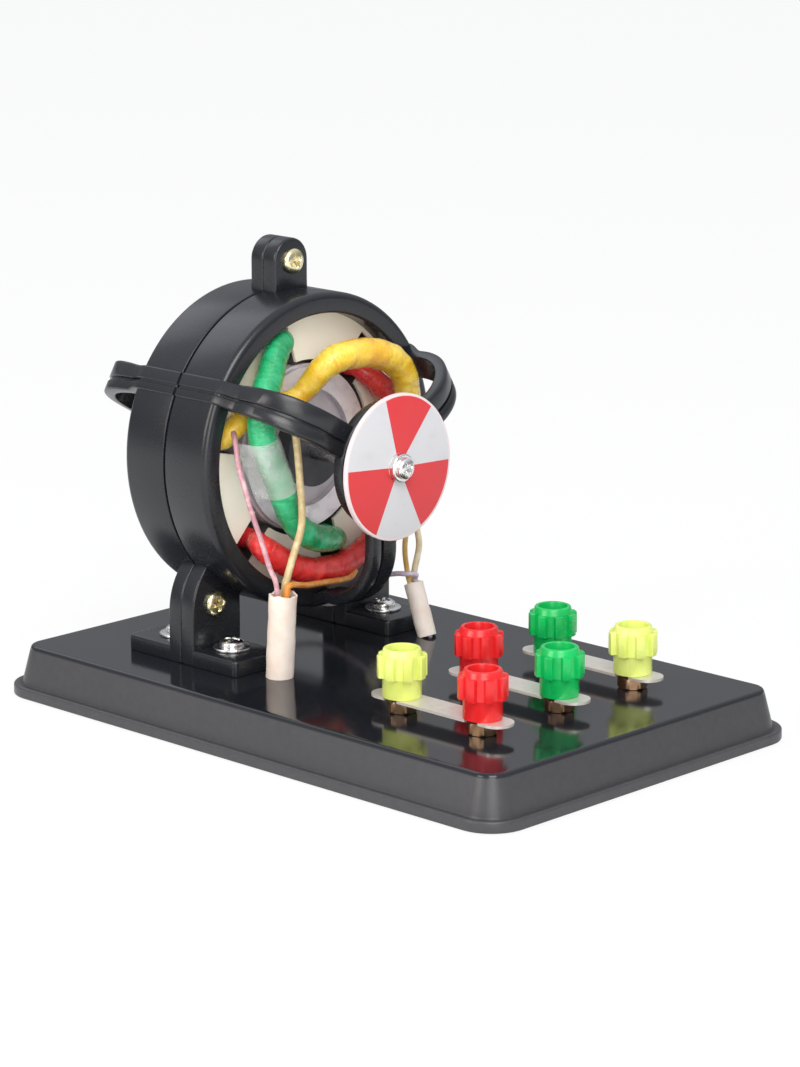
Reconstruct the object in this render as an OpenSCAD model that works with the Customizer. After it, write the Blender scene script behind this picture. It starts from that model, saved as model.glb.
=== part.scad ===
// Demonstration three-phase motor: an open stator in a two-part housing on a moulded base,
// with a cage rotor, an indicator disc and six binding posts joined in pairs by link strips.
// Z is up, the disc and the posts are at the front (-Y), and the origin is under the base's centre.

/* [Base] */
// Length of the base over its lip, front to back
base_length = 210; // [200:1:260]
// Width of the base over its lip
base_width = 135; // [125:1:170]
// Height of the base's top face above the floor
base_height = 15.5; // [14:0.5:20]
// Wall thickness of the base moulding
base_wall = 2.5; // [2:0.1:3.5]
// How far the lip stands out at the foot
lip_width = 2.7; // [1.5:0.1:5]
// Height of the lip
lip_height = 3.5; // [2:0.1:5]
// How far each side leans in on its way up
base_lean = 2.9; // [1:0.1:5]
// Corner radius of the lip in plan
base_corner = 12; // [9:0.5:20]

/* [Housing] */
// Height of the shaft's centre above the floor
axis_height = 78; // [74:1:95]
// Distance of the housing's split behind the base's centre
seam_y = 47; // [42:1:52]
// Outside diameter of the housing ring
ring_d = 98; // [96:1:118]
// Diameter of the mouth that the windings show through
mouth_d = 85; // [84:0.5:86]
// Depth of each housing half
half_depth = 18; // [17:0.5:20]
// Width of a bearing arm, across its run
arm_width = 10.5; // [8:0.5:13]
// Angle of the two upper arms above level
arm_angle = 30; // [20:1:40]
// How far an arm's outer face lies inside the ring's outside
arm_inset = 2.5; // [1:0.5:3]
// Radius of an arm's bend
arm_bend = 20; // [14:1:24]
// Thickness of an arm
arm_thick = 3.8; // [3:0.1:4]
// Diameter of the bearing boss
boss_d = 38.5; // [30:0.5:44]
// Distance of the boss's outer face from the split
boss_reach = 46; // [44:0.5:52]
// Thickness of one half of the lug, and of one ear
lug_depth = 5.5; // [4:0.5:8]
// Width of the lug on top
lug_width = 14; // [12:0.5:18]
// Distance of the lug's screw from the ring's outside
lug_rise = 8.5; // [6:0.5:13]
// How far the feet's outer sides lie inside the ring's
foot_inset = 6; // [2:0.5:8]
// Width of a foot
foot_width = 20; // [16:0.5:22]
// Length of one half of a foot
foot_length = 24; // [20:0.5:28]
// Thickness of a foot's flange
foot_thick = 5; // [4:0.5:7]
// Distance of the ear screws from the ring's outside
ear_screw_out = 6.6; // [5.5:0.1:7]
// Angle of the ear screws below level
ear_screw_angle = 52.3; // [50:0.1:55]

/* [Stator] */
// Length of the laminated core
core_length = 20; // [16:0.5:21]
// Bore of the laminated core
core_bore = 54; // [53.4:0.1:55]
// Width of a winding slot
slot_width = 8.6; // [8:0.1:10]
// Depth of a winding slot from the bore
slot_depth = 14.2; // [13.5:0.1:15]
// Thickness of the insulating end plates
plate_thick = 1; // [0.6:0.1:1.4]
// Thickness of the yellow coil's bundle in its slots
yellow_d = 6.6; // [5:0.1:6.8]
// Thickness of the green coil's bundle in its slots
green_d = 7.2; // [5:0.1:7.4]
// Thickness of the red coil's bundle in its slots
red_d = 6.4; // [5:0.1:6.6]

/* [Rotor] */
// Diameter of the rotor
rotor_d = 52; // [48:0.1:52.6]
// Length of the rotor core
rotor_length = 19; // [14:0.5:20]
// Number of cage bars
bar_count = 18; // [12:1:20]
// Thickness of a cage bar
bar_d = 3.2; // [2:0.1:3.4]
// Thickness of the cage's end rings
end_ring_thick = 2; // [1:0.1:2.2]
// Diameter of the shaft
shaft_d = 6; // [5:0.5:8]
// Diameter of the dark spacers on the shaft
spacer_d = 23; // [16:1:34]
// Length of each spacer
spacer_length = 6; // [4:0.5:12]
// Outside diameter of the bearing bushes
bush_d = 10; // [9:0.5:12]
// Length of the bearing bushes
bush_length = 8; // [5:0.5:10]

/* [Indicator disc] */
// Diameter of the disc
disc_d = 45; // [35:1:52]
// Thickness of the disc
disc_thick = 1.5; // [1:0.1:3]
// Gap between the boss and the back of the disc
disc_gap = 3.5; // [2:0.5:6]
// Diameter of the collar in front of the disc
collar_d = 8.8; // [8:0.1:12]
// Thickness of that collar
collar_thick = 2; // [1:0.1:3]

/* [Binding posts] */
// Distance between posts, side to side
post_pitch_x = 33; // [29:1:40]
// Distance between posts, front to back
post_pitch_y = 32; // [28:1:34]
// Distance of the rear row in front of the base's centre
post_row = 37; // [34:1:42]
// Diameter of a stud
stud_d = 5; // [4:0.5:6]
// Height of the nut under a link strip
post_nut_height = 3.8; // [3:0.1:5]
// Size of that nut across its flats
post_nut_flats = 8; // [7.8:0.1:9]
// Diameter of a knob over its ribs
knob_d = 14.8; // [13.8:0.1:18]
// Diameter of a knob's plain collar
knob_collar_d = 11.6; // [11:0.1:12]
// Height of the plain collar
knob_collar_height = 6; // [5:0.1:8]
// Height of a knob
knob_height = 14.8; // [13:0.1:18]
// Number of ribs on a knob
rib_count = 8; // [6:1:12]
// Thickness of a link strip
link_thick = 0.8; // [0.5:0.1:1.5]
// Width of a link strip
link_width = 10; // [8:0.5:12]
// How far a link strip's ends pass the posts
link_over = 10.5; // [8:0.5:12]

/* [Leads and sleeves] */
// Diameter of a lead
lead_d = 1.8; // [1.2:0.1:2]
// Distance of the sleeves from the middle
sleeve_x = 32.3; // [32.3:0.1:32.3]
// Outside diameter of the left sleeve
left_sleeve_d = 8.6; // [8.2:0.1:10]
// Outside diameter of the right sleeve
right_sleeve_d = 6.2; // [5.8:0.1:8]

/* [Fasteners] */
// Diameter of the housing and foot screws
screw_d = 4; // [3.5:0.1:4.8]
// Diameter of their heads
head_d = 7.8; // [7:0.1:9]
// Height of their heads
head_height = 2.3; // [1.8:0.1:3]
// Size of their nuts across the flats
nut_flats = 7; // [6.8:0.1:7.4]
// Height of their nuts
nut_height = 3.2; // [2.5:0.1:3.4]
// Diameter of the foot washers
washer_d = 11.6; // [9:0.1:12]
// Thickness of the foot washers
washer_thick = 1; // [0.6:0.1:1.4]

/* [Hidden] */
$fn = 64;

cut = 1;                  // how far a cutting solid runs past the face it cuts
fit = 0.15;               // clearance of pieces that are clamped or pushed together
running = 0.05;           // radial clearance of a part that turns or slides on another
seat_gap = 0.3;           // gap that keeps a turning face off a still one
hull_fn = 32;
black_plastic = [0.04, 0.04, 0.045];
brass = [0.78, 0.62, 0.3];
steel = [0.75, 0.76, 0.78];

half_len = base_length / 2;
half_wid = base_width / 2;
under_top = base_height - base_wall;
ring_r = ring_d / 2;
mouth_r = mouth_d / 2;
core_r = ring_r - 4.5;
arm_r = ring_r - arm_inset;
core_half = core_length / 2;
lip_back = core_half + plate_thick;
foot_top = base_height + foot_thick;
foot_reach = ring_r - foot_inset;
foot_screw_x = foot_reach - foot_width / 2;
foot_screw_y = foot_length / 2;
ear_screw_x = (ring_r + ear_screw_out) * cos(ear_screw_angle);
ear_screw_z = axis_height - (ring_r + ear_screw_out) * sin(ear_screw_angle);
lug_screw_r = ring_r + lug_rise;
boss_back = boss_reach - bush_length;
boss_y = seam_y - boss_reach;
rear_boss_y = seam_y + boss_reach;
disc_back_y = boss_y - disc_gap;
disc_front_y = disc_back_y - disc_thick;
seat_length = disc_gap - seat_gap;
knob_bottom = base_height + post_nut_height + link_thick;
insert_r = 3.55;
stud_bottom = 6.5;
stud_top = knob_bottom + 4.9;
tag_thick = 0.8;
tag_tail = 12;
hole_r = screw_d / 2 + fit;
slot_count = 6;
first_slot = 47;

// Where the posts stand: [x, y], rear row first
posts = [for (row = [0, 1]) for (col = [-1, 0, 1]) [col * post_pitch_x, -post_row - row * post_pitch_y]];
yellow = [0.84, 0.9, 0.32];
red = [0.85, 0.1, 0.12];
green = [0.03, 0.6, 0.25];

// Each coil runs from slot to slot over the front face:
// [angle, distance from the shaft, y, share of its thickness]
yellow_route = [[167, 36.5, 38, 1], [166.2, 36.5, 34.8, 1], [160, 35.5, 32.2, 1], [152.5, 31.8, 32.3, 1],
  [143, 26.5, 31.8, 1], [130, 22, 31, 1], [116, 20.3, 30, 1.02], [105.5, 22.5, 28, 1.1], [99, 25.9, 25.6, 1.2],
  [90.9, 28.8, 23.7, 1.32], [81.2, 30.5, 22.5, 1.38], [68.2, 32.2, 22, 1.4], [55.6, 34.1, 22, 1.4],
  [45.1, 35.6, 22, 1.38], [36, 35.7, 22, 1.32], [26, 34.6, 22.4, 1.25], [14, 33.8, 23.2, 1.15],
  [3, 32.6, 24.8, 1.05], [-6, 31.2, 28, 1], [-11.8, 30.8, 32.6, 1], [-13, 31, 38, 1]];
green_route = [[107, 37, 38, 1], [107.6, 37, 35, 1], [110.5, 37.1, 32.6, 1], [117, 36.8, 31.2, 1.08],
  [126, 35.7, 28.8, 1.15], [134.4, 35, 27, 1.2], [142.8, 35.1, 25.2, 1.2], [150.5, 34.8, 23.9, 1.2],
  [158.5, 33.3, 23.1, 1.2], [164, 31.7, 22.9, 1.2], [170, 29.3, 22.9, 1.22], [179.6, 26.8, 23, 1.22],
  [192.1, 24.6, 23, 1.2], [206.6, 24.2, 23, 1.15], [218.5, 25, 23, 1.1], [230, 25.9, 23, 1.12],
  [241.9, 26.2, 23.5, 1.15], [256.4, 26.6, 24.5, 1.15], [270, 27.2, 26.2, 1.1], [280, 28.8, 28.8, 1.02],
  [285, 30.6, 31.6, 1], [286.8, 31, 34.6, 1], [287, 31, 38, 1]];
red_route = [[227, 34, 38, 1], [226.6, 34.2, 34.8, 1], [224.3, 35.2, 31.6, 1.02], [223, 36.2, 29.6, 1.1],
  [225.5, 36.6, 28.3, 1.2], [232, 36.3, 27.9, 1.28], [244.7, 36.4, 27.9, 1.3], [258.7, 36.9, 28.1, 1.3],
  [272.4, 37.4, 28.2, 1.28], [284, 37.9, 28.3, 1.22], [298, 38.2, 28.5, 1.12], [314, 38.3, 28.9, 1.05],
  [328, 38.4, 29.3, 1], [342, 38.4, 29.8, 1], [355, 38.2, 30.8, 1], [367, 37, 31.2, 1.02],
  [378, 35, 31.2, 1.1], [388.5, 32.4, 31, 1.15], [398, 30.8, 31.2, 1.1], [404.5, 30.7, 33, 1],
  [406.8, 31, 35.2, 1], [407, 31, 38, 1]];

// The leads' routes from a coil, down through a sleeve and under the base to a post's tag
pink_route = [[-35.3, 31, 89.5], [-37.5, 27.8, 87], [-38.6, 25.3, 80], [-38.2, 23, 73], [-37, 21.5, 66],
  [-35.1, 20, 58.5], [-34.2, 17, 49.5], [-33.8, 14.1, 41.5], [-33.8, 15.9, 15.5], [-33.7, 16, 12], [-32, 17, 8],
  [-20, 14, 7.5], [5, -2, 7.5], [25, -15, 8.5], [31.5, -19.5, 11], [33, -22.5, 11.9], [33, -25, 11.9]];
tan_route = [[-27, 21.4, 96.6], [-25.8, 18.4, 94.8], [-23.8, 17, 91.2], [-22.8, 16.5, 85], [-21.8, 16.5, 75.5],
  [-20.9, 16.5, 66], [-21.5, 16.4, 59], [-25, 16, 52], [-29, 14.8, 45.5], [-30.8, 14.1, 41.5],
  [-30.8, 15.9, 15.5], [-30.6, 15.7, 12.5], [-27, 12, 10.5], [-14, -5, 10.5], [-3, -16, 10.8], [0, -22, 11.9],
  [0, -25, 11.9]];
orange_route = [[11.5, 26, 38.6], [6.5, 24, 37.4], [-6.3, 21.5, 38.9], [-18.5, 16.5, 41.2], [-26.6, 13, 43.4],
  [-30.5, 11.6, 44.2], [-32.3, 11.6, 41.5], [-32.3, 13.3, 15.5], [-32.3, 13.2, 12.5], [-32.7, 8, 10.5],
  [-33, -10, 10.5], [-33, -22, 11.9], [-33, -25, 11.9]];
beige_route = [[33.4, 26.6, 57.4], [34.5, 23, 52], [35, 21, 44], [33.7, 21.6, 36], [33.3, 21.4, 31.5],
  [33.3, 15.5, 15.5], [33.4, 14.9, 12], [36, 12, 7.5], [43, 0, 6.5], [43, -37, 6.5], [38, -47, 8.5],
  [33, -53.5, 11.9], [33, -57, 11.9]];
amber_route = [[31.3, 24.6, 74.6], [31, 20.5, 67], [28.5, 19, 56], [27, 19.5, 45], [30, 21.4, 36],
  [31.3, 21.4, 31.5], [31.3, 15.5, 15.5], [31.1, 15.2, 12], [28, 16, 6.5], [10, 14, 4.6], [-10, 5, 4.6],
  [-16.5, -15, 4.6], [-16.5, -40, 4.6], [-25, -48, 7.5], [-33, -53.5, 11.9], [-33, -57, 11.9]];
lilac_route = [[7, 67.2, 48.6], [8.8, 70.6, 47.2], [12, 72, 42], [15.5, 71.5, 35], [17.5, 68.5, 28.5],
  [19, 58, 24], [19.5, 47, 22.5], [22.5, 37.5, 26], [28, 30.5, 32.5], [27.8, 24.5, 34.8],
  [28.2, 20.4, 35.4], [30.9, 18.4, 35], [32.3, 19.7, 31.5], [32.3, 13.7, 15.5], [32.4, 13.2, 12.5], [30.5, 9.5, 6.5],
  [22, -5, 4.6], [16.5, -20, 4.6], [16.5, -40, 4.6], [8, -48, 7.5], [0, -53.5, 11.9], [0, -57, 11.9]];

function unit(v) = v / norm(v);
// Points on an arc: centre, radius, first and last angle, number of steps
function arc(c, r, a0, a1, n) = [for (i = [0:n])
  c + r * [cos(a0 + (a1 - a0) * i / n), sin(a0 + (a1 - a0) * i / n)]];
// A place given as [angle, distance from the shaft, y]
function round_axis(p) = [p[1] * cos(p[0]), p[2], axis_height + p[1] * sin(p[0])];
// The same with a thickness after it, and the place alone again
function thick_point(p, d) = concat(round_axis(p), p[3] * d);
function place(p) = [p[0], p[1], p[2]];
// Smooth closed curve through points, with a number of steps between neighbours
function blend(a, b, c, d, t) = 0.5 * (2 * b + (c - a) * t + (2 * a - 5 * b + 4 * c - d) * t * t
  + (3 * b - a - 3 * c + d) * t * t * t);
function closed_curve(q, steps) = let (n = len(q)) [for (i = [0:n - 1]) for (s = [0:steps - 1])
  blend(q[(i + n - 1) % n], q[i], q[(i + 1) % n], q[(i + 2) % n], s / steps)];
// Whole loop of a coil: the route over the front face and its mirror image over the rear face
function coil_loop(route, d) = let (n = len(route), front = [for (p = route) thick_point(p, d)],
  rear = [for (i = [n - 1:-1:0]) [front[i][0], 2 * seam_y - front[i][1], front[i][2], front[i][3]]])
  closed_curve(concat(front, rear), 3);
// Least gap between two bundles
function least_gap(a, b) = min([for (p = a) min([for (q = b) norm(place(p) - place(q)) - (p[3] + q[3]) / 2])]);
// Sideways directions carried along a path without twisting
function carried(t, i, side, found) = i == len(t) ? found
  : let (u = unit(side - (side * t[i]) * t[i])) carried(t, i + 1, u, concat(found, [u]));
function around(p, side, up, r, sides) = [for (j = [0:sides - 1]) p + r * (cos(360 * j / sides) * side
  + sin(360 * j / sides) * up)];
// Faces between one ring of points and the next
function skirt(i, k, m) = [for (j = [0:m - 1]) each [[i * m + j, k * m + j, k * m + (j + 1) % m],
  [i * m + j, k * m + (j + 1) % m, i * m + (j + 1) % m]]];

// Bundle of turns that closes on itself round one tooth group
module coil(route, d, middle) {
  bundle = coil_loop(route, d);
  path = [for (p = bundle) place(p)];
  n = len(path);
  sides = 10;
  heart = round_axis([middle, 12, seam_y]);
  rings = [for (i = [0:n - 1]) let (t = unit(path[(i + 1) % n] - path[(i + n - 1) % n]), v = path[i] - heart,
    side = unit(v - (v * t) * t)) around(path[i], side, cross(t, side), bundle[i][3] / 2, sides)];
  polyhedron([for (ring = rings) each ring], [for (i = [0:n - 1]) each skirt(i, (i + 1) % n, sides)]);
}

// Lead along a list of points, with flat ends
module lead(route) {
  n = len(route);
  sides = 8;
  t = [for (i = [0:n - 1]) unit(route[min(i + 1, n - 1)] - route[max(i - 1, 0)])];
  first = unit(cross(t[0], [0.3, 0.9, 0.2]));
  side = carried(t, 0, first, []);
  rings = [for (i = [0:n - 1]) around(route[i], side[i], cross(t[i], side[i]), lead_d / 2, sides)];
  caps = [[for (j = [0:sides - 1]) j], [for (j = [sides - 1:-1:0]) (n - 1) * sides + j]];
  polyhedron([for (ring = rings) each ring], concat([for (i = [0:n - 2]) each skirt(i, i + 1, sides)], caps));
}

// Stands a shape that is drawn with its axis on Z so that Z points out of the front
module facing_front(y) { translate([0, y, axis_height]) rotate([90, 0, 0]) children(); }

module round_plan(length, width, r) {
  square([width - 2 * r, length], center = true);
  square([width, length - 2 * r], center = true);
  for (sx = [-1, 1], sy = [-1, 1]) translate([sx * (width / 2 - r), sy * (length / 2 - r)]) circle(r);
}

// Solid with leaning sides and a softened top edge, shrunk by inset on every side
module tray_body(inset, height, soften) {
  foot_r = base_corner - lip_width - inset;
  top_r = foot_r - base_lean;
  hull()
    for (sx = [-1, 1], sy = [-1, 1])
      translate([sx * (half_wid - base_corner), sy * (half_len - base_corner), 0]) {
        cylinder(h = height - soften, r1 = foot_r, r2 = top_r + soften * 0.2, $fn = hull_fn);
        cylinder(h = height, r = top_r - soften, $fn = hull_fn);
      }
}

module base() {
  color(black_plastic) difference() {
    union() {
      tray_body(0, base_height, 1);
      linear_extrude(lip_height) round_plan(base_length, base_width, base_corner);
    }
    translate([0, 0, -cut]) tray_body(base_wall, under_top + cut, 0);
    for (p = posts) translate([p[0], p[1], under_top - cut]) cylinder(h = base_wall + 2 * cut, d = stud_d);
    foot_places() translate([0, 0, under_top - cut]) cylinder(h = base_wall + 2 * cut, r = hole_r);
    translate([-sleeve_x, 15, under_top - cut]) cylinder(h = base_wall + 2 * cut, r = left_sleeve_d / 2 - 0.9);
    translate([sleeve_x, 14.9, under_top - cut])
      cylinder(h = base_wall + 2 * cut, r = right_sleeve_d / 2 - 0.6);
  }
}

// Repeats its child at the four foot screws
module foot_places() {
  for (sx = [-1, 1], sy = [-1, 1]) translate([sx * foot_screw_x, seam_y + sy * foot_screw_y, 0]) children();
}

// Repeats its child, drawn with Z out of the front, at the lug's screw and both ear screws
module clamp_places() {
  translate([0, seam_y, axis_height + lug_screw_r]) rotate([90, 0, 0]) children();
  for (sx = [-1, 1]) translate([sx * ear_screw_x, seam_y, ear_screw_z]) rotate([90, 0, 0]) children();
}

// Section of a bearing arm: distance from the shaft, distance from the split
module arm_section(skin) {
  band = ring_r + 0.8;
  front = boss_reach - 0.8;
  centre = [arm_r - arm_bend, front - arm_bend];
  inner = arm_r - arm_thick;
  polygon(concat([[band - 3.5, 0], [band - skin, 0], [band - skin, half_depth - 2],
      [arm_r - skin, half_depth + 0.8]],
    arc(centre, arm_bend - skin, 0, 90, 12),
    [[bush_d, front - skin], [bush_d, boss_back + 0.5], [boss_d / 2 - 2, boss_back + 0.5]],
    arc(centre, arm_bend - arm_thick, 90, 0, 10),
    [[inner, half_depth - 2], [band - 3.5, half_depth - 2]]));
}

// A bearing arm: two flanges with a groove between them
module arm() {
  groove = 1.2;
  low = 1;  // how far below the arm's middle the groove runs
  rotate([90, 0, 0]) {
    linear_extrude(arm_width, center = true) arm_section(1);
    translate([0, 0, -arm_width / 2]) linear_extrude(arm_width / 2 + low - groove / 2) arm_section(0);
    translate([0, 0, low + groove / 2]) linear_extrude(arm_width / 2 - low - groove / 2) arm_section(0);
  }
}

// Ear and foot of one side, Z out from the split, Y up from the shaft
module ear_and_foot() {
  floor_y = base_height - axis_height;
  join = ring_r - 2;
  inner_x = -foot_reach + foot_width;
  outer_top = [-ring_r * cos(41), -ring_r * sin(41)];
  difference() {
    union() {
      linear_extrude(lug_depth) polygon(concat([[inner_x, floor_y], [-foot_reach, floor_y]],
        [[-foot_reach, floor_y + 15]],
        [for (i = [1:6]) let (k = i / 6) [-foot_reach, floor_y + 15] * (1 - k) * (1 - k)
          + [-foot_reach, floor_y + 24] * 2 * k * (1 - k) + outer_top * k * k],
        [[-join * cos(45), -join * sin(45)], [inner_x, -sqrt(join * join - inner_x * inner_x)]]));
      translate([-foot_reach, floor_y, 0]) cube([foot_width, foot_thick, foot_length]);
    }
    translate([-ear_screw_x, ear_screw_z - axis_height, -cut]) cylinder(h = lug_depth + 2 * cut, r = hole_r);
    translate([-foot_screw_x, floor_y - cut, foot_screw_y]) rotate([-90, 0, 0])
      cylinder(h = foot_thick + 2 * cut, r = hole_r);
  }
}

// One half of the housing, Z out from the split, Y up from the shaft
module housing_half() {
  edge = 2;
  difference() {
    union() {
      rotate_extrude() polygon(concat([[core_r + fit, 0], [ring_r, 0]],
        arc([ring_r - edge, half_depth - edge], edge, 0, 90, 8),
        [[mouth_r + 0.5, half_depth], [mouth_r, half_depth - 0.5], [mouth_r, lip_back],
          [core_r + fit, lip_back]]));
      linear_extrude(lug_depth) difference() {
        union() {
          translate([0, lug_screw_r]) circle(lug_width / 2);
          translate([-lug_width / 2, ring_r - 2]) square([lug_width, lug_rise + 2]);
        }
        translate([0, lug_screw_r]) circle(hole_r);
      }
      ear_and_foot();
      mirror([1, 0, 0]) ear_and_foot();
      rotate([0, 0, arm_angle]) arm();
      mirror([1, 0, 0]) rotate([0, 0, arm_angle]) arm();
      rotate([0, 0, -90]) arm();
      translate([0, 0, boss_back]) cylinder(h = bush_length / 2, r1 = boss_d / 2 - 5, r2 = boss_d / 2);
      translate([0, 0, boss_back + bush_length / 2]) cylinder(h = bush_length / 2, d = boss_d);
    }
    translate([0, 0, boss_back - cut]) cylinder(h = bush_length + 2 * cut, d = bush_d);
  }
}

module front_housing() { color(black_plastic) facing_front(seam_y) housing_half(); }

module rear_housing() {
  color(black_plastic) translate([0, 2 * seam_y, 0]) mirror([0, 1, 0]) facing_front(seam_y) housing_half();
}

// Pan head with a cross recess, its underside at Z = 0 and its shank below it
module pan_screw(head, height, shank_d, shank) {
  difference() {
    rotate_extrude() polygon(concat([[0, 0], [head / 2, 0]],
      [for (i = [0:5]) let (a = 15 * i + 15) [head / 2 * (0.72 + 0.28 * cos(a)), height * (0.35 + 0.65 * sin(a))]],
      [[0, height]]));
    for (a = [0, 90]) rotate([0, 0, a]) translate([-head * 0.3, -head * 0.07, height * 0.4])
      cube([head * 0.6, head * 0.14, height]);
  }
  translate([0, 0, -shank]) cylinder(h = shank + height * 0.2, d = shank_d);
}

module hex_nut(flats, height, bore_r) {
  difference() {
    cylinder(h = height, d = flats / cos(30), $fn = 6);
    translate([0, 0, -cut]) cylinder(h = height + 2 * cut, r = bore_r);
  }
}

module clamp_screws() {
  color(brass) clamp_places() translate([0, 0, lug_depth])
    pan_screw(head_d, head_height, screw_d, 2 * lug_depth + nut_height + 0.6);
}

module clamp_nuts() {
  color(brass) clamp_places() translate([0, 0, -lug_depth - nut_height])
    hex_nut(nut_flats, nut_height, screw_d / 2);
}

module foot_screws() {
  color(steel) foot_places() translate([0, 0, foot_top + washer_thick])
    pan_screw(head_d, head_height, screw_d, washer_thick + foot_thick + base_wall + nut_height + 0.6);
}

module foot_washers() {
  color(steel) foot_places() translate([0, 0, foot_top]) difference() {
    cylinder(h = washer_thick, d = washer_d);
    translate([0, 0, -cut]) cylinder(h = washer_thick + 2 * cut, r = hole_r);
  }
}

module foot_nuts() {
  color(steel) foot_places() translate([0, 0, under_top - nut_height])
    hex_nut(nut_flats, nut_height, screw_d / 2);
}

module slots(width) {
  for (i = [0:slot_count - 1]) rotate([0, 0, first_slot + 60 * i])
    translate([core_bore / 2 - 2 * cut, -width / 2, -core_length])
      cube([slot_depth + 2 * cut, width, 2 * core_length]);
}

module stator_core() {
  color([0.45, 0.46, 0.48]) facing_front(seam_y) difference() {
    cylinder(h = core_length, r = core_r, center = true);
    cylinder(h = core_length + 2 * cut, d = core_bore, center = true);
    slots(slot_width);
  }
}

module end_plate(y) {
  color([0.93, 0.87, 0.74]) facing_front(y) difference() {
    cylinder(h = plate_thick, r = core_r - fit);
    translate([0, 0, -cut]) cylinder(h = plate_thick + 2 * cut, d = core_bore + 1);
    slots(slot_width);
  }
}

module front_end_plate() { end_plate(seam_y - core_half); }
module rear_end_plate() { end_plate(seam_y + core_half + plate_thick); }

module yellow_coil() { color([0.98, 0.72, 0.1]) coil(yellow_route, yellow_d, 77); }
module green_coil() { color([0.05, 0.6, 0.3]) coil(green_route, green_d, 197); }
module red_coil() { color([0.85, 0.08, 0.1]) coil(red_route, red_d, 317); }

module bar_places(d, length) {
  for (i = [0:bar_count - 1]) rotate([0, 0, 360 * i / bar_count]) translate([rotor_d / 2 - 3.6, 0, 0])
    cylinder(h = length, d = d, center = true, $fn = 24);
}

module rotor_core() {
  color([0.7, 0.7, 0.72]) facing_front(seam_y) difference() {
    cylinder(h = rotor_length, d = rotor_d, center = true);
    cylinder(h = rotor_length + 2 * cut, d = shaft_d, center = true);
    bar_places(bar_d, rotor_length + 2 * cut);
  }
}

module rotor_cage() {
  color([0.82, 0.82, 0.84]) facing_front(seam_y) {
    bar_places(bar_d, rotor_length + 2);
    for (side = [0, 1]) mirror([0, 0, side]) translate([0, 0, rotor_length / 2]) difference() {
      cylinder(h = end_ring_thick, d = rotor_d - 1.2);
      translate([0, 0, -cut]) cylinder(h = end_ring_thick + 2 * cut, d = spacer_d + 14);
    }
  }
}

module shaft() {
  color(steel) facing_front(disc_back_y) difference() {
    translate([0, 0, disc_back_y - rear_boss_y + cut])
      cylinder(h = rear_boss_y - cut - disc_back_y, d = shaft_d);
    translate([0, 0, -8]) cylinder(h = 8 + cut, d = screw_d / 4 * 3);
  }
}

module rotor_spacers() {
  color([0.1, 0.1, 0.11]) facing_front(seam_y)
    for (side = [0, 1]) mirror([0, 0, side]) translate([0, 0, rotor_length / 2]) difference() {
      cylinder(h = spacer_length, d = spacer_d);
      translate([0, 0, -cut]) cylinder(h = spacer_length + 2 * cut, d = shaft_d);
    }
}

module bush() {
  difference() {
    cylinder(h = bush_length, d = bush_d);
    translate([0, 0, -cut]) cylinder(h = bush_length + 2 * cut, r = shaft_d / 2 + running);
  }
}

module front_bearing() { color(brass) facing_front(boss_y + bush_length) bush(); }
module rear_bearing() { color(brass) facing_front(rear_boss_y) bush(); }

module disc_seat() {
  color(brass) facing_front(disc_back_y + seat_length) difference() {
    cylinder(h = seat_length, d = collar_d + 1);
    translate([0, 0, -cut]) cylinder(h = seat_length + 2 * cut, d = shaft_d);
  }
}

module indicator_disc() {
  color([0.88, 0.88, 0.88]) facing_front(disc_back_y) difference() {
    cylinder(h = disc_thick, d = disc_d);
    translate([0, 0, -cut]) cylinder(h = disc_thick + 2 * cut, d = screw_d / 4 * 3 + 2 * fit);
  }
}

module disc_collar() {
  color(steel) facing_front(disc_front_y) difference() {
    rotate_extrude() polygon([[0, 0], [collar_d / 2, 0], [collar_d / 2, collar_thick - 0.6],
      [collar_d / 2 - 0.6, collar_thick], [0, collar_thick]]);
    translate([0, 0, -cut]) cylinder(h = collar_thick + 2 * cut, d = screw_d / 4 * 3 + 2 * fit);
  }
}

module disc_screw() {
  color(steel) facing_front(disc_front_y - collar_thick)
    pan_screw(collar_d - 2.2, 2.2, screw_d / 4 * 3, collar_thick + disc_thick + 6);
}

// Sleeve that stands on the base and leans: foot, top, outside diameter and wall
module sleeve(foot, top, d, wall) {
  run = top - foot;
  lean = atan2(run[1], run[2]);
  difference() {
    translate(foot) rotate([-lean, 0, 0]) difference() {
      translate([0, 0, -4]) cylinder(h = norm(run) + 4, d = d);
      translate([0, 0, -5]) cylinder(h = norm(run) + 6, d = d - 2 * wall);
    }
    translate([foot[0] - d, foot[1] - d, foot[2] - 10]) cube([2 * d, 2 * d, 10]);
  }
}

module left_sleeve() {
  color([0.96, 0.9, 0.84]) sleeve([-sleeve_x, 14.9, base_height], [-sleeve_x, 13.2, 41.8], left_sleeve_d, 0.7);
}

module right_sleeve() {
  color([0.93, 0.86, 0.78]) sleeve([sleeve_x, 14.9, base_height], [sleeve_x, 21, 32], right_sleeve_d, 0.6);
}

module pink_lead() { color([0.85, 0.62, 0.68]) lead(pink_route); }
module tan_lead() { color([0.86, 0.74, 0.5]) lead(tan_route); }
module orange_lead() { color([0.9, 0.5, 0.2]) lead(orange_route); }
module beige_lead() { color([0.9, 0.82, 0.62]) lead(beige_route); }
module amber_lead() { color([0.88, 0.68, 0.35]) lead(amber_route); }
module lilac_lead() { color([0.8, 0.72, 0.82]) lead(lilac_route); }

module post_studs() {
  color(brass) for (p = posts) translate([p[0], p[1], stud_bottom])
    cylinder(h = stud_top - stud_bottom, d = stud_d);
}

module post_nuts() {
  color(brass) for (i = [0:5]) translate([posts[i][0], posts[i][1], base_height]) rotate([0, 0, 15 * i])
    hex_nut(post_nut_flats, post_nut_height, stud_d / 2);
}

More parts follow.
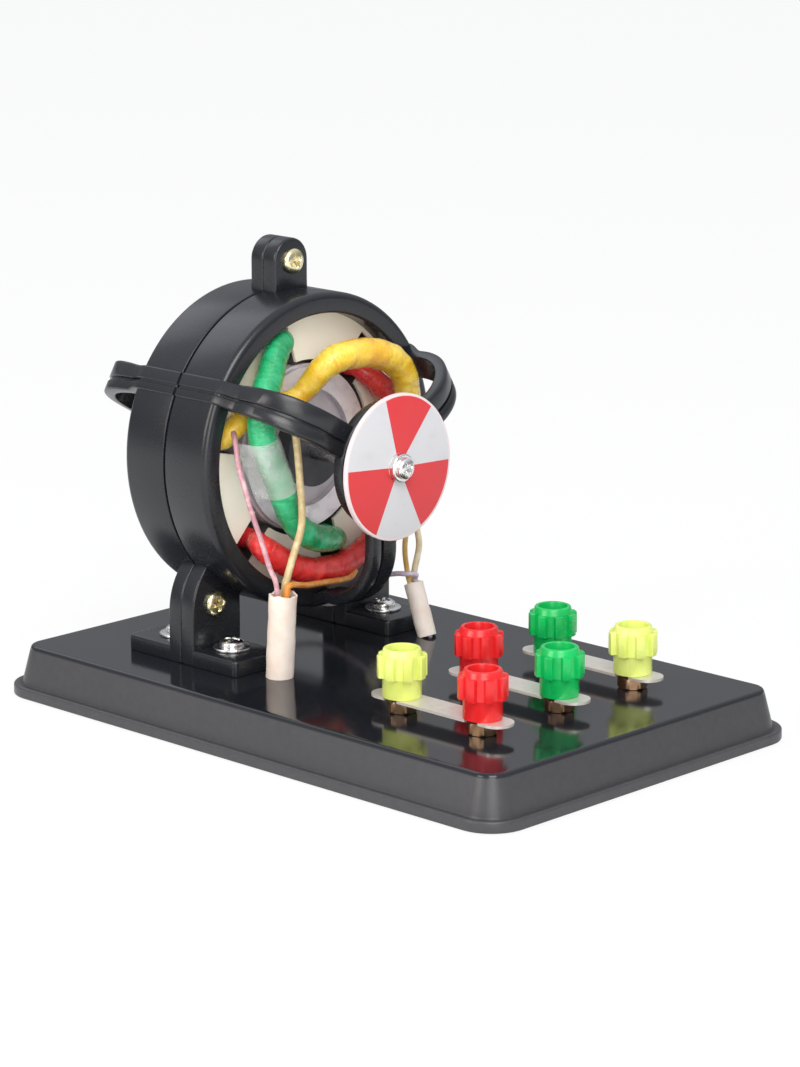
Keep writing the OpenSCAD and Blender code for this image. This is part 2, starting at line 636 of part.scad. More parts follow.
module tag_nuts() {
  color(brass) for (p = posts) translate([p[0], p[1], under_top - tag_thick - nut_height])
    hex_nut(post_nut_flats, nut_height, stud_d / 2);
}

module solder_tags() {
  color(steel) for (p = posts) translate([p[0], p[1], under_top - tag_thick])
    linear_extrude(tag_thick) difference() {
      union() {
        circle(5);
        translate([-2, 0]) square([4, tag_tail]);
      }
      circle(stud_d / 2);
    }
}

// Strip that joins a rear post to a front post, notched so that it draws off towards +X
module link(col) {
  length = post_pitch_y + 2 * link_over;
  middle = -post_row - post_pitch_y / 2;
  color([0.86, 0.85, 0.8]) translate([col * post_pitch_x, middle, base_height + post_nut_height])
    linear_extrude(link_thick) difference() {
      union() {
        square([link_width, length - link_width], center = true);
        for (s = [-1, 1]) translate([0, s * (length - link_width) / 2]) circle(link_width / 2);
      }
      for (s = [-1, 1]) translate([0, s * post_pitch_y / 2]) {
        circle(stud_d / 2 + running);
        translate([-link_width, -stud_d / 2 - running]) square([link_width, stud_d + 2 * running]);
      }
    }
}

module left_link() { link(-1); }
module middle_link() { link(0); }
module right_link() { link(1); }

// Threaded insert that a knob turns on
module insert(i) {
  color(brass) translate([posts[i][0], posts[i][1], knob_bottom + seat_gap]) difference() {
    cylinder(h = knob_collar_height, r = insert_r);
    translate([0, 0, -cut]) cylinder(h = knob_collar_height + 2 * cut, r = stud_d / 2 + running);
  }
}

// Ribbed knob, open at the top, with a plain collar below
module knob(i, shade) {
  rim_r = 5.3;
  rib_w = 3;
  socket_r = 4.3;
  crown = 2;
  core = knob_collar_d / 2 + 0.2;
  color(shade) translate([posts[i][0], posts[i][1], knob_bottom]) difference() {
    union() {
      rotate_extrude() polygon([[0, 0], [knob_collar_d / 2, 0], [knob_collar_d / 2, knob_collar_height],
        [core, knob_collar_height + 0.5], [core, knob_height - crown], [rim_r + 0.2, knob_height - 0.4],
        [rim_r - 0.2, knob_height], [0, knob_height]]);
      intersection() {
        rotate_extrude() polygon([[0, knob_collar_height], [knob_d / 2 - 0.5, knob_collar_height],
          [knob_d / 2, knob_collar_height + 0.6], [knob_d / 2, knob_height - crown - 0.5],
          [knob_d / 2 - 0.4, knob_height - crown], [0, knob_height - crown]]);
        linear_extrude(knob_height) for (k = [0:rib_count - 1]) rotate(360 * (k + 0.3) / rib_count)
          translate([core / 2, -rib_w / 2]) square([knob_d / 2, rib_w]);
      }
    }
    translate([0, 0, -cut]) cylinder(h = knob_height, r = insert_r + running);
    translate([0, 0, knob_collar_height + seat_gap * 2]) cylinder(h = knob_height, r = socket_r);
  }
}

union() {
  yellow_loop = coil_loop(yellow_route, yellow_d);
  green_loop = coil_loop(green_route, green_d);
  red_loop = coil_loop(red_route, red_d);
  echo(yellow_green = least_gap(yellow_loop, green_loop), green_red = least_gap(green_loop, red_loop),
    red_yellow = least_gap(red_loop, yellow_loop));
}

base();
front_housing();
rear_housing();
clamp_screws();
clamp_nuts();
foot_screws();
foot_washers();
foot_nuts();
stator_core();
front_end_plate();
rear_end_plate();
yellow_coil();
green_coil();
red_coil();
rotor_core();
rotor_cage();
shaft();
rotor_spacers();
front_bearing();
rear_bearing();
disc_seat();
indicator_disc();
disc_collar();
disc_screw();
left_sleeve();
right_sleeve();
pink_lead();
tan_lead();
orange_lead();
beige_lead();
amber_lead();
lilac_lead();
post_studs();
post_nuts();
tag_nuts();
solder_tags();
left_link();
middle_link();
right_link();
insert(0);  // left_rear_insert
insert(1);  // middle_rear_insert
insert(2);  // right_rear_insert
insert(3);  // left_front_insert
insert(4);  // middle_front_insert
insert(5);  // right_front_insert
knob(0, yellow);  // left_rear_knob
knob(1, red);  // middle_rear_knob
knob(2, green);  // right_rear_knob
knob(3, red);  // left_front_knob
knob(4, green);  // middle_front_knob
knob(5, yellow);  // right_front_knob
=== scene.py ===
# Demonstration three-phase motor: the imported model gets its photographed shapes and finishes.
# Sizes here are millimetres until a mesh is made; the floor is z = 0 and the disc faces -Y.
import math

import bpy
import numpy as np
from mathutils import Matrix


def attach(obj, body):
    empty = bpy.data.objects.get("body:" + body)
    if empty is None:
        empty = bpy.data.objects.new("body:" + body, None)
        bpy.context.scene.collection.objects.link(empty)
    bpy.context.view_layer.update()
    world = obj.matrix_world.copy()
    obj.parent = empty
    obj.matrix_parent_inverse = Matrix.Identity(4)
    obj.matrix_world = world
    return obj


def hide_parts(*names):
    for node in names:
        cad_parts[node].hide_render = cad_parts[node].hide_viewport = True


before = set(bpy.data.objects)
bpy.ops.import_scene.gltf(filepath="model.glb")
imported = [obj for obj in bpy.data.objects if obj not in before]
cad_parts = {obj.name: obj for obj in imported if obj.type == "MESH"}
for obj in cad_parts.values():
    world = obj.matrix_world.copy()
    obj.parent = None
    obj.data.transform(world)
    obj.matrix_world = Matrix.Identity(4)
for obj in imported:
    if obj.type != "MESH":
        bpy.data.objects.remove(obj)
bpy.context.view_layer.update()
print("frame loaded:", len(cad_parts), "nodes")

# plane where the housing halves meet, height of the shaft, and millimetres in a metre
seamY = 47.0
axisZ = 78.0
metre = 1000.0

view = {
    "place": (-0.7685, -0.7447, 0.3181),
    "turn": -46.07,
    "down": 13.72,
    "lens": 122.85,
    "sensor": 36,
    "clip": (0.05, 50),
}


def makeCamera():
    camera = bpy.data.cameras.new("camera")
    camera.lens = view["lens"]
    camera.sensor_width = view["sensor"]
    camera.clip_start, camera.clip_end = view["clip"]
    holder = bpy.data.objects.new("camera", camera)
    holder.location = view["place"]
    holder.rotation_euler = (math.radians(90 - view["down"]), 0, math.radians(view["turn"]))
    bpy.context.scene.collection.objects.link(holder)
    bpy.context.scene.camera = holder


makeCamera()


def operator(kind):
    return lambda self, other: self.maths(kind, self, other)


def swapped(kind):
    return lambda self, other: self.maths(kind, other, self)


class Value:
    # one socket; plain arithmetic on it adds Math nodes
    __add__, __radd__ = operator("ADD"), swapped("ADD")
    __sub__, __rsub__ = operator("SUBTRACT"), swapped("SUBTRACT")
    __mul__, __truediv__, __pow__ = operator("MULTIPLY"), operator("DIVIDE"), operator("POWER")

    def __init__(self, paint, socket):
        self.paint = paint
        self.socket = socket

    def maths(self, kind, *terms):
        return self.paint.node("ShaderNodeMath", {"operation": kind}, dict(enumerate(terms)))

    def clamped(self):
        return self.maths("MINIMUM", self.maths("MAXIMUM", self, 0.0), 1.0)

    def most(self, other):
        return self.maths("MAXIMUM", self, other)

    def size(self):
        return self.maths("ABSOLUTE", self)

    def wrapped(self, step):
        return self.maths("FLOORED_MODULO", self, step)

    def ramp(self, low, high):
        # 0 at low, 1 at high, eased between
        return self.paint.node("ShaderNodeMapRange", {"interpolation_type": "SMOOTHSTEP"},
            {"Value": self, "From Min": low, "From Max": high})


class Nodes:
    # a node tree and one way to add any node to it
    def __init__(self, tree):
        self.tree = tree

    def put(self, socket, value):
        if isinstance(value, Value):
            self.tree.links.new(value.socket, socket)
        elif isinstance(value, tuple) and len(value) == 3 and socket.type == "RGBA":
            socket.default_value = (*value, 1)
        else:
            socket.default_value = value

    def node(self, kind, settings=None, inputs=None, out=0):
        made = self.tree.nodes.new(kind)
        for key, value in (settings or {}).items():
            setattr(made, key, value)
        for key, value in (inputs or {}).items():
            self.put(made.inputs[key], value)
        return Value(self, made.outputs[out])

    def place(self):
        return self.node("ShaderNodeTexCoord", out="Object")

    def uv(self):
        return self.node("ShaderNodeUVMap", {"uv_map": "along"})

    def scaled(self, vector, by):
        return self.node("ShaderNodeMapping", {}, {"Vector": vector, "Scale": by})

    def parts(self, vector):
        split = self.tree.nodes.new("ShaderNodeSeparateXYZ")
        self.put(split.inputs[0], vector)
        return [Value(self, split.outputs[i]) for i in range(3)]

    def noise(self, scale, detail, rough, vector=None):
        return self.node("ShaderNodeTexNoise", {}, {"Vector": vector or self.place(), "Scale": scale,
            "Detail": detail, "Roughness": rough})

    def mix(self, factor, one, other):
        return self.node("ShaderNodeMix", {"data_type": "RGBA"}, {0: factor, 6: one, 7: other}, out=2)


class Paint(Nodes):
    # one material and its Principled shader
    def __init__(self, name, **sockets):
        self.material = bpy.data.materials.new(name)
        self.material.use_nodes = True
        super().__init__(self.material.node_tree)
        self.shader = self.tree.nodes["Principled BSDF"]
        for socketName, value in sockets.items():
            self.set(socketName.replace("_", " "), value)

    def set(self, socketName, value):
        self.put(self.shader.inputs[socketName], value)

    def bump(self, height, strength, distance):
        settings = {"Height": height, "Strength": strength, "Distance": distance}
        self.set("Normal", self.node("ShaderNodeBump", {}, settings))


blackPlastic = {"colour": (0.011, 0.012, 0.0155), "dust": (0.06, 0.058, 0.058), "side": (0.064, 0.063, 0.067),
    "sideFade": 0.0012}


def mouldedBlack(name, rough, grain, specular, wall=None):
    # near-black gloss with fine dust, soft flow marks and rub marks; below z = wall it is paler and duller
    paint = Paint(name, Specular_IOR_Level=specular)
    where = paint.place()
    specks = paint.noise(900.0, 2.0, 0.5, where).ramp(0.70, 0.82)
    cloud = paint.noise(22.0, 4.0, 0.6, where)
    dust = (specks * 0.35 + cloud.ramp(0.5, 0.8) * 0.12).clamped()
    colour = paint.mix(dust, blackPlastic["colour"], blackPlastic["dust"])
    streak = paint.noise(60.0, 3.0, 0.6, paint.scaled(where, (1, 1, 6)))
    dull = rough + cloud * 0.10 + streak * 0.05 + specks * 0.2
    if wall:
        _, _, z = paint.parts(where)
        side = 1.0 - z.ramp(wall - blackPlastic["sideFade"], wall)
        mottle = paint.noise(420.0, 4.0, 0.7, where)
        colour = paint.mix(side * (0.55 + mottle * 0.45), colour, blackPlastic["side"])
        dull = dull + side * 0.26
    paint.set("Base Color", colour)
    paint.set("Roughness", dull.clamped())
    waves = paint.noise(14.0, 1.0, 0.4, where)
    fine = paint.noise(700.0, 2.0, 0.6, where)
    paint.bump(waves + fine * grain, 0.18, 0.0008)
    return paint.material


def metalFinish(name, colour, dull, rough, scratch=120.0, dark=0.35, metallic=1.0):
    # plated metal: mottled tarnish over a bright ground, with short scratches
    paint = Paint(name, Metallic=metallic)
    where = paint.place()
    tarnish = paint.noise(260.0, 4.0, 0.65, where).ramp(0.45, 0.72)
    paint.set("Base Color", paint.mix(tarnish * dark, colour, dull))
    lines = paint.noise(scratch, 3.0, 0.7, paint.scaled(where, (1, 8, 8)))
    paint.set("Roughness", (rough + lines * 0.14 + tarnish * 0.12).clamped())
    paint.bump(lines + paint.noise(900.0, 2.0, 0.5, where) * 0.5, 0.16, 0.0002)
    return paint.material


def softPlastic(name, colour, shade, rough, grain=500.0, depth=0.12, glow=0.0):
    # moulded or extruded plastic: slight colour drift, fine grain
    paint = Paint(name)
    where = paint.place()
    drift = paint.noise(90.0, 3.0, 0.6, where)
    paint.set("Base Color", paint.mix(drift.ramp(0.35, 0.7), colour, shade))
    paint.set("Roughness", (rough + drift * 0.12).clamped())
    paint.bump(paint.noise(grain, 3.0, 0.6, where), depth, 0.0003)
    if glow:
        paint.set("Subsurface Weight", glow)
        paint.set("Subsurface Radius", (0.6, 0.6, 0.3))
        paint.set("Subsurface Scale", 0.002)
    return paint.material


def tapeFinish(name, colour, shadeColour, pale):
    # glossy tape wound over a bundle with helical edges and folds; painted shade darkens the helical edges,
    # the folds and random patches, and a painted sheen and random tone make it paler
    paint = Paint(name, Coat_Weight=0.45, Coat_Roughness=0.2, Specular_IOR_Level=0.6)
    along, around, _ = paint.parts(paint.uv())
    warp = paint.noise(220.0, 3.0, 0.6, paint.place())
    turns = (along * 0.16 + around + warp * 0.35).wrapped(1.0)
    edge = 1.0 - turns.ramp(0.0, 0.10)
    fold = paint.noise(1.0, 4.0, 0.65, paint.scaled(paint.uv(), (0.9, 5.0, 1.0)))
    crease = (fold - 0.5).size().ramp(0.0, 0.035)
    tone = paint.noise(130.0, 3.0, 0.55, paint.place()).ramp(0.35, 0.68)
    # painted highlight: streaks of the lighter colour along the tape
    sheen = paint.noise(1.0, 3.0, 0.6, paint.scaled(paint.uv(), (3.2, 2.2, 1.0))).ramp(0.45, 0.75)
    shadePatch = paint.noise(75.0, 2.0, 0.5, paint.place()).ramp(0.50, 0.66)
    base = paint.mix((tone * 0.7 + sheen * 0.5).clamped(), colour, pale)
    # painted shade: the helical edges, the folds and the random patches go towards the darker colour
    paintedShade = edge * 0.34 + (1.0 - crease) * 0.16 + shadePatch * 0.38
    paint.set("Base Color", paint.mix(paintedShade.clamped(), base, shadeColour))
    paint.set("Roughness", (0.17 + tone * 0.14 + edge * 0.16).clamped())
    paint.bump(turns * 0.5 + crease * 0.35 + fold * 0.9 + sheen * 0.3, 0.5, 0.0006)
    return paint.material


def leadFinish(name, colour, pale):
    # thin insulation, a little waxy, with a lighter bloom
    paint = Paint(name)
    bloom = paint.noise(420.0, 3.0, 0.6).ramp(0.4, 0.7)
    paint.set("Base Color", paint.mix(bloom, colour, pale))
    paint.set("Roughness", 0.34 + bloom * 0.14)
    paint.bump(paint.noise(800.0, 2.0, 0.5), 0.12, 0.0002)
    return paint.material


def linerFinish(name, colour, stain):
    # pressed insulating board: fibres and slight cloudy staining
    paint = Paint(name, Specular_IOR_Level=0.3)
    where = paint.place()
    fibre = paint.noise(620.0, 4.0, 0.7, paint.scaled(where, (1, 1, 3)))
    cloud = paint.noise(55.0, 3.0, 0.6, where).ramp(0.4, 0.75)
    paint.set("Base Color", paint.mix((cloud * 0.5 + fibre * 0.25).clamped(), colour, stain))
    paint.set("Roughness", 0.62 + fibre * 0.2)
    paint.bump(fibre, 0.25, 0.0002)
    return paint.material


def stackFinish(name, colour, dark, pitch, metallic=0.85):
    # stack of sheets: a fine line for each along the shaft, rubbed unevenly
    paint = Paint(name, Metallic=metallic)
    where = paint.place()
    _, y, _ = paint.parts(where)
    sheet = (y / pitch).wrapped(1.0).ramp(0.0, 0.35)
    rub = paint.noise(150.0, 4.0, 0.65, where)
    paint.set("Base Color", paint.mix((sheet * 0.7 + rub.ramp(0.3, 0.7) * 0.3).clamped(), dark, colour))
    paint.set("Roughness", (0.32 + rub * 0.25).clamped())
    paint.bump(sheet + rub * 0.4, 0.3, 0.0002)
    return paint.material


# red sectors and the blur at their edges in degrees; in metres, where red ends and the margin begins
sectorPaint = {"red": ((50.0, 105.0), (175.0, 243.0), (296.0, 357.6)), "blur": 0.4,
    "redEnds": (0.02165, 0.0218), "margin": (0.0216, 0.0219)}


def discFinish(name):
    # red where start < angle < stop in one of three sectors, inside a thin pale margin; a little scuffed
    s = sectorPaint
    blur = s["blur"]
    paint = Paint(name, Specular_IOR_Level=0.4)
    where = paint.place()
    x, _, z = paint.parts(where)
    up = z - axisZ / metre
    angle = (up.maths("ARCTAN2", up, x) / math.pi * 180.0).wrapped(360.0)
    redZone = 0.0
    for start, stop in s["red"]:
        begun = angle.ramp(start - blur, start + blur)
        redZone = begun * (1.0 - angle.ramp(stop - blur, stop + blur)) + redZone
    radius = (x * x + up * up) ** 0.5
    scuff = paint.noise(180.0, 4.0, 0.65, where).ramp(0.52, 0.75)
    white = paint.mix(scuff * 0.5, (0.62, 0.62, 0.64), (0.54, 0.55, 0.57))
    red = paint.mix(scuff * 0.4, (0.65, 0.038, 0.044), (0.60, 0.07, 0.075))
    face = paint.mix(redZone * (1.0 - radius.ramp(*s["redEnds"])), white, red)
    paint.set("Base Color", paint.mix(radius.ramp(*s["margin"]) * 0.7, face, (0.80, 0.66, 0.66)))
    paint.set("Roughness", 0.34 + scuff * 0.2)
    paint.bump(paint.noise(500.0, 3.0, 0.6, where), 0.06, 0.0002)
    return paint.material


def filmFinish(name):
    # thin milky sheet: alpha = 0.18 + 0.22 cloud, paler where it is thicker
    paint = Paint(name, Coat_Weight=0.5, Coat_Roughness=0.15)
    cloud = paint.noise(90.0, 3.0, 0.55).ramp(0.35, 0.75)
    paint.set("Base Color", paint.mix(cloud, (0.84, 0.90, 0.87), (0.95, 0.96, 0.95)))
    paint.set("Alpha", 0.18 + cloud * 0.22)
    paint.set("Roughness", 0.25 + cloud * 0.2)
    paint.bump(cloud, 0.3, 0.0004)
    return paint.material


finish = {
    "film": filmFinish("milkyFilm"),
    "base": mouldedBlack("baseGloss", 0.045, 0.02, 0.42, wall=0.0150),
    "housing": mouldedBlack("housingGloss", 0.20, 0.14, 0.5),
    "brass": metalFinish("yellowPlating", (0.86, 0.78, 0.50), (0.55, 0.47, 0.22), 0.16),
    "nutBrass": metalFinish("agedBrass", (0.42, 0.26, 0.15), (0.14, 0.08, 0.05), 0.26, dark=0.8),
    "steel": metalFinish("brightPlating", (0.83, 0.83, 0.82), (0.50, 0.50, 0.49), 0.14),
    "shaft": metalFinish("groundShaft", (0.60, 0.60, 0.62), (0.35, 0.35, 0.36), 0.2),
    "tin": metalFinish("tinnedStrip", (0.80, 0.76, 0.70), (0.62, 0.58, 0.52), 0.30, 60.0, 0.5, 0.6),
    "bush": metalFinish("bushBronze", (0.70, 0.50, 0.26), (0.35, 0.22, 0.10), 0.28),
    "liner": linerFinish("linerBoard", (0.98, 0.94, 0.82), (0.94, 0.85, 0.68)),
    "core": stackFinish("coreStack", (0.22, 0.21, 0.21), (0.05, 0.05, 0.05), 0.0005),
    "rotor": stackFinish("rotorStack", (0.90, 0.84, 0.88), (0.58, 0.53, 0.57), 0.0005, 0.35),
    "cage": metalFinish("castCage", (0.92, 0.88, 0.92), (0.66, 0.62, 0.67), 0.36, 90.0, 0.6, 0.55),
    "spacer": softPlastic("darkSpacer", (0.020, 0.020, 0.024), (0.05, 0.05, 0.06), 0.35),
    "disc": discFinish("sectorDisc"),
    "sleeve": softPlastic("paleSleeve", (0.90, 0.80, 0.72), (0.82, 0.66, 0.56), 0.45, 300.0, 0.3, 0.25),
    "yellowKnob": softPlastic("lemonKnob", (0.76, 0.85, 0.23), (0.70, 0.80, 0.16), 0.22, 260.0, 0.10, 0.15),
    "redKnob": softPlastic("redKnob", (0.76, 0.020, 0.022), (0.68, 0.012, 0.015), 0.20, 260.0, 0.10, 0.10),
    "greenKnob": softPlastic("greenKnob", (0.004, 0.50, 0.11), (0.003, 0.40, 0.085), 0.20, 260.0, 0.10, 0.10),
}
# tape colour with its darker colour for painted shade and its lighter colour for painted highlight and random
# tone, and lead colour with its bloom
tapeColour = {
    "yellow": ((0.95, 0.56, 0.014), (0.74, 0.22, 0.006), (0.98, 0.78, 0.12)),
    "green": ((0.004, 0.42, 0.13), (0.001, 0.15, 0.05), (0.05, 0.66, 0.30)),
    "red": ((0.82, 0.010, 0.014), (0.36, 0.003, 0.008), (0.95, 0.07, 0.06)),
}
leadColour = {
    "pink": ((0.50, 0.24, 0.28), (0.76, 0.50, 0.52)),
    "tan": ((0.56, 0.42, 0.20), (0.74, 0.62, 0.38)),
    "orange": ((0.72, 0.24, 0.03), (0.85, 0.42, 0.12)),
    "beige": ((0.76, 0.64, 0.40), (0.88, 0.80, 0.60)),
    "amber": ((0.74, 0.46, 0.12), (0.84, 0.62, 0.26)),
    "lilac": ((0.62, 0.52, 0.64), (0.80, 0.72, 0.80)),
}
for tapeName, colours in tapeColour.items():
    finish[tapeName + "Tape"] = tapeFinish(tapeName + "Tape", *colours)
for leadName, colours in leadColour.items():
    finish[leadName + "Lead"] = leadFinish(leadName + "Lead", *colours)
print("finishes made:", len(finish))


def shell(points, loop=False, along=None):
    # points[row, column] is a closed section carried along rows; ends are capped unless the rows loop
    rows, columns = points.shape[:2]
    index = np.arange(rows * columns).reshape(rows, columns)
    here = index if loop else index[:-1]
    after = np.roll(index, -1, 0) if loop else index[1:]
    quads = np.stack([here, after, np.roll(after, -1, 1), np.roll(here, -1, 1)], -1).reshape(-1, 4)
    distance = np.arange(rows + 1, dtype=float) if along is None else along
    one = np.broadcast_to(np.arange(len(here))[:, None], here.shape).reshape(-1)
    two = np.broadcast_to(np.arange(columns)[None, :], here.shape).reshape(-1)
    u = np.stack([distance[one], distance[one + 1], distance[one + 1], distance[one]], -1)
    v = np.stack([two, two, two + 1, two + 1], -1) / columns
    ends = [] if loop else [index[0], index[-1][::-1]]
    vertices = points.reshape(-1, 3)
    # signed volume of the quads' triangles and the caps' fans, to turn the faces outwards
    volume = 0.0
    for a, b, c in ((0, 1, 2), (0, 2, 3)):
        p, q, r = (vertices[quads[:, k]] for k in (a, b, c))
        volume += np.einsum("ij,ij->i", p, np.cross(q, r)).sum()
    for ring in ends:
        p = vertices[ring]
        fan = np.broadcast_to(p[:1], p[1:-1].shape)
        volume += np.einsum("ij,ij->i", fan, np.cross(p[1:-1], p[2:])).sum()
    if volume < 0:
        quads, u, v = quads[:, ::-1], u[:, ::-1], v[:, ::-1]
        ends = [ring[::-1] for ring in ends]
    return vertices, quads, ends, np.stack([u, v], -1).reshape(-1, 2)


def makePiece(name, shells, body, material, nodes, sharp):
    # joins closed shells into one mesh in metres, and hands it to the frame
    counts, corners, uvs, vertices = [], [], [], []
    offset = 0
    for points, quads, ends, uv in shells:
        vertices.append(points)
        corners.append((quads + offset).reshape(-1))
        counts.append(np.full(len(quads), 4))
        uvs.append(uv)
        for ring in ends:
            corners.append(ring + offset)
            counts.append(np.array([len(ring)]))
            uvs.append(np.zeros((len(ring), 2)))
        offset += len(points)
    allCorners, allCounts = np.concatenate(corners), np.concatenate(counts)
    allVertices = np.concatenate(vertices) * 0.001
    loopStarts = np.concatenate([[0], np.cumsum(allCounts)[:-1]])
    mesh = bpy.data.meshes.new(name)
    mesh.vertices.add(len(allVertices))
    mesh.vertices.foreach_set("co", allVertices.astype(np.float32).reshape(-1))
    mesh.loops.add(len(allCorners))
    mesh.loops.foreach_set("vertex_index", allCorners.astype(np.int32))
    mesh.polygons.add(len(allCounts))
    mesh.polygons.foreach_set("loop_start", loopStarts.astype(np.int32))
    layer = mesh.uv_layers.new(name="along")
    layer.data.foreach_set("uv", np.concatenate(uvs).astype(np.float32).reshape(-1))
    mesh.update(calc_edges=True)
    mesh.validate()
    mesh.shade_smooth()
    mesh.set_sharp_from_angle(angle=math.radians(sharp))
    mesh.materials.append(finish[material])
    piece = bpy.data.objects.new(name, mesh)
    bpy.context.scene.collection.objects.link(piece)
    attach(piece, body)
    if nodes:
        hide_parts(*nodes)


def placed(points, origin, x, y, z):
    # local coordinates onto three axes from an origin
    return np.asarray(origin, float) + points @ np.array([x, y, z], float)


def turnedOut(shells, origin, axes):
    # each shell placed on the axes, its faces turned over where the axes mirror it
    mirrored = np.linalg.det(np.array(axes, float)) < 0
    out = []
    for points, quads, ends, uv in shells:
        if mirrored:
            quads = quads[:, ::-1]
            ends = [ring[::-1] for ring in ends]
            uv = uv.reshape(-1, 4, 2)[:, ::-1].reshape(-1, 2)
        out.append((placed(points, origin, *axes), quads, ends, uv))
    return out


def arc(centre, radius, start, stop, steps):
    a = np.radians(np.linspace(start, stop, steps))
    return np.stack([centre[0] + radius * np.cos(a), centre[1] + radius * np.sin(a)], -1)


def joined(*lists):
    return np.concatenate([np.asarray(part, float) for part in lists])


def lathe(profile, columns):
    # (radius, height) turned about local Z: x = r cos a, y = r sin a
    a = np.linspace(0, 2 * math.pi, columns, endpoint=False)
    r, h = profile[:, :1], profile[:, 1:]
    return np.stack([r * np.cos(a), r * np.sin(a), h + 0 * a], -1)


def rimmed(bore, outside, thick, edge, steps):
    # (radius, height) section of a flat ring whose outer rim is rounded
    rim = outside - edge
    return joined([[bore, 0.0], [rim, 0.0]], arc((rim, edge), edge, -90, 0, steps),
        arc((rim, thick - edge), edge, 0, 90, steps), [[bore, thick]])


def slab(outline, low, high, edge, lowEdge):
    # closed outline raised from low to high, drawn in by a quarter round at each rim
    here = outline
    ahead, behind = np.roll(here, -1, 0), np.roll(here, 1, 0)
    tangent = ahead - behind
    tangent /= np.linalg.norm(tangent, axis=1, keepdims=True)
    area = np.sum(here[:, 0] * ahead[:, 1] - ahead[:, 0] * here[:, 1])
    inward = np.stack([-tangent[:, 1], tangent[:, 0]], -1) * (1 if area > 0 else -1)
    a = np.linspace(0, math.pi / 2, 5)
    draw = np.concatenate([lowEdge * (1 - np.sin(a)), edge * (1 - np.cos(a))])
    level = np.concatenate([low + lowEdge * (1 - np.cos(a)), high - edge + edge * np.sin(a)])
    flat = here[None] + inward[None] * draw[:, None, None]
    return np.concatenate([flat, np.broadcast_to(level[:, None, None], flat.shape[:2] + (1,))], -1)


def roundedBox(halfWidth, halfLength, radius, steps=14, straight=10):
    # outline of a rectangle with round corners, the same number of points whatever its size
    parts = []
    corners = ((1, 1, 0), (-1, 1, 90), (-1, -1, 180), (1, -1, 270))
    for sx, sy, start in corners:
        centre = (sx * (halfWidth - radius), sy * (halfLength - radius))
        parts.append(arc(centre, radius, start, start + 90, steps))
    closed = []
    for i, part in enumerate(parts):
        following = parts[(i + 1) % 4][0]
        t = np.linspace(0, 1, straight + 2)[1:-1, None]
        closed += [part, part[-1] * (1 - t) + following * t]
    return np.concatenate(closed)


def smoothed(points, steps, loop=False):
    # Catmull-Rom curve through points
    p = np.asarray(points, float)
    before, after = (p[-1:], p[:2]) if loop else (2 * p[:1] - p[1:2], 2 * p[-1:] - p[-2:-1])
    p = np.concatenate([before, p, after])
    t = np.linspace(0, 1, steps, endpoint=False)[None, :, None]
    a, b, c, d = (p[i:len(p) - 3 + i, None, :] for i in range(4))
    square, cube = 2 * a - 5 * b + 4 * c - d, 3 * b - a - 3 * c + d
    curve = 0.5 * (2 * b + (c - a) * t + square * t ** 2 + cube * t ** 3)
    curve = curve.reshape(-1, p.shape[1])
    return curve if loop else np.concatenate([curve, p[-2:-1]])


def even(path, step, loop=False):
    # the same curve with points a steady distance apart, and each point's distance along it
    whole = np.concatenate([path, path[:1]]) if loop else path
    length = np.concatenate([[0], np.cumsum(np.linalg.norm(np.diff(whole[:, :3], axis=0), axis=1))])
    count = max(4, int(round(length[-1] / step)))
    along = np.linspace(0, length[-1], count + 1)
    out = np.stack([np.interp(along, length, whole[:, k]) for k in range(whole.shape[1])], -1)
    return (out[:-1] if loop else out), along


startLean = (0.31, 0.94, 0.17)


def carriedFrame(path, loop, heart):
    # tangent, side and up at each point; the side leans away from heart, or to startLean without it
    ahead, behind = np.roll(path, -1, 0), np.roll(path, 1, 0)
    if not loop:
        ahead[-1], behind[0] = path[-1], path[0]
    t = ahead - behind
    t /= np.linalg.norm(t, axis=1, keepdims=True)
    toward = (path - heart) if heart is not None else np.tile([startLean], (len(path), 1))
    side = toward - np.sum(toward * t, 1, keepdims=True) * t
    side /= np.linalg.norm(side, axis=1, keepdims=True)
    return t, side, np.cross(t, side)


def tube(path, radius, columns, along, loop=False, heart=None):
    # circle of radius(row, angle) carried along a path
    t, side, up = carriedFrame(path, loop, heart)
    a = np.linspace(0, 2 * math.pi, columns, endpoint=False)
    r = np.broadcast_to(np.asarray(radius, float), (len(path), columns))[..., None]
    ring = side[:, None] * np.cos(a)[None, :, None] + up[:, None] * np.sin(a)[None, :, None]
    return shell(path[:, None] + r * ring, loop, along)


def ripple(rows, columns, seed, count, low, high):
    # sum of seeded waves over a row angle and a column angle, mostly within -1 to 1, closed both ways
    rng = np.random.default_rng(seed)
    r = np.linspace(0, 2 * math.pi, rows, endpoint=False)[:, None]
    c = np.linspace(0, 2 * math.pi, columns, endpoint=False)[None, :]
    out = np.zeros((rows, columns))
    rowWaves, columnWaves = rng.integers(low, high, count), rng.integers(0, 4, count)
    for k, m, phase in zip(rowWaves, columnWaves, rng.uniform(0, 6.28, count)):
        out += np.cos(k * r + m * c + phase)
    return out / math.sqrt(count)


facingFront = ((1, 0, 0), (0, 0, 1), (0, -1, 0))
facingBack = ((1, 0, 0), (0, 0, 1), (0, 1, 0))
upright = ((1, 0, 0), (0, 1, 0), (0, 0, 1))

base = {"halfWidth": 67.5, "halfLength": 105.0, "corner": 12.0, "height": 15.5, "wall": 2.5, "topEdge": 1.3,
    "lipHeight": 3.5, "leastCorner": 3.0}


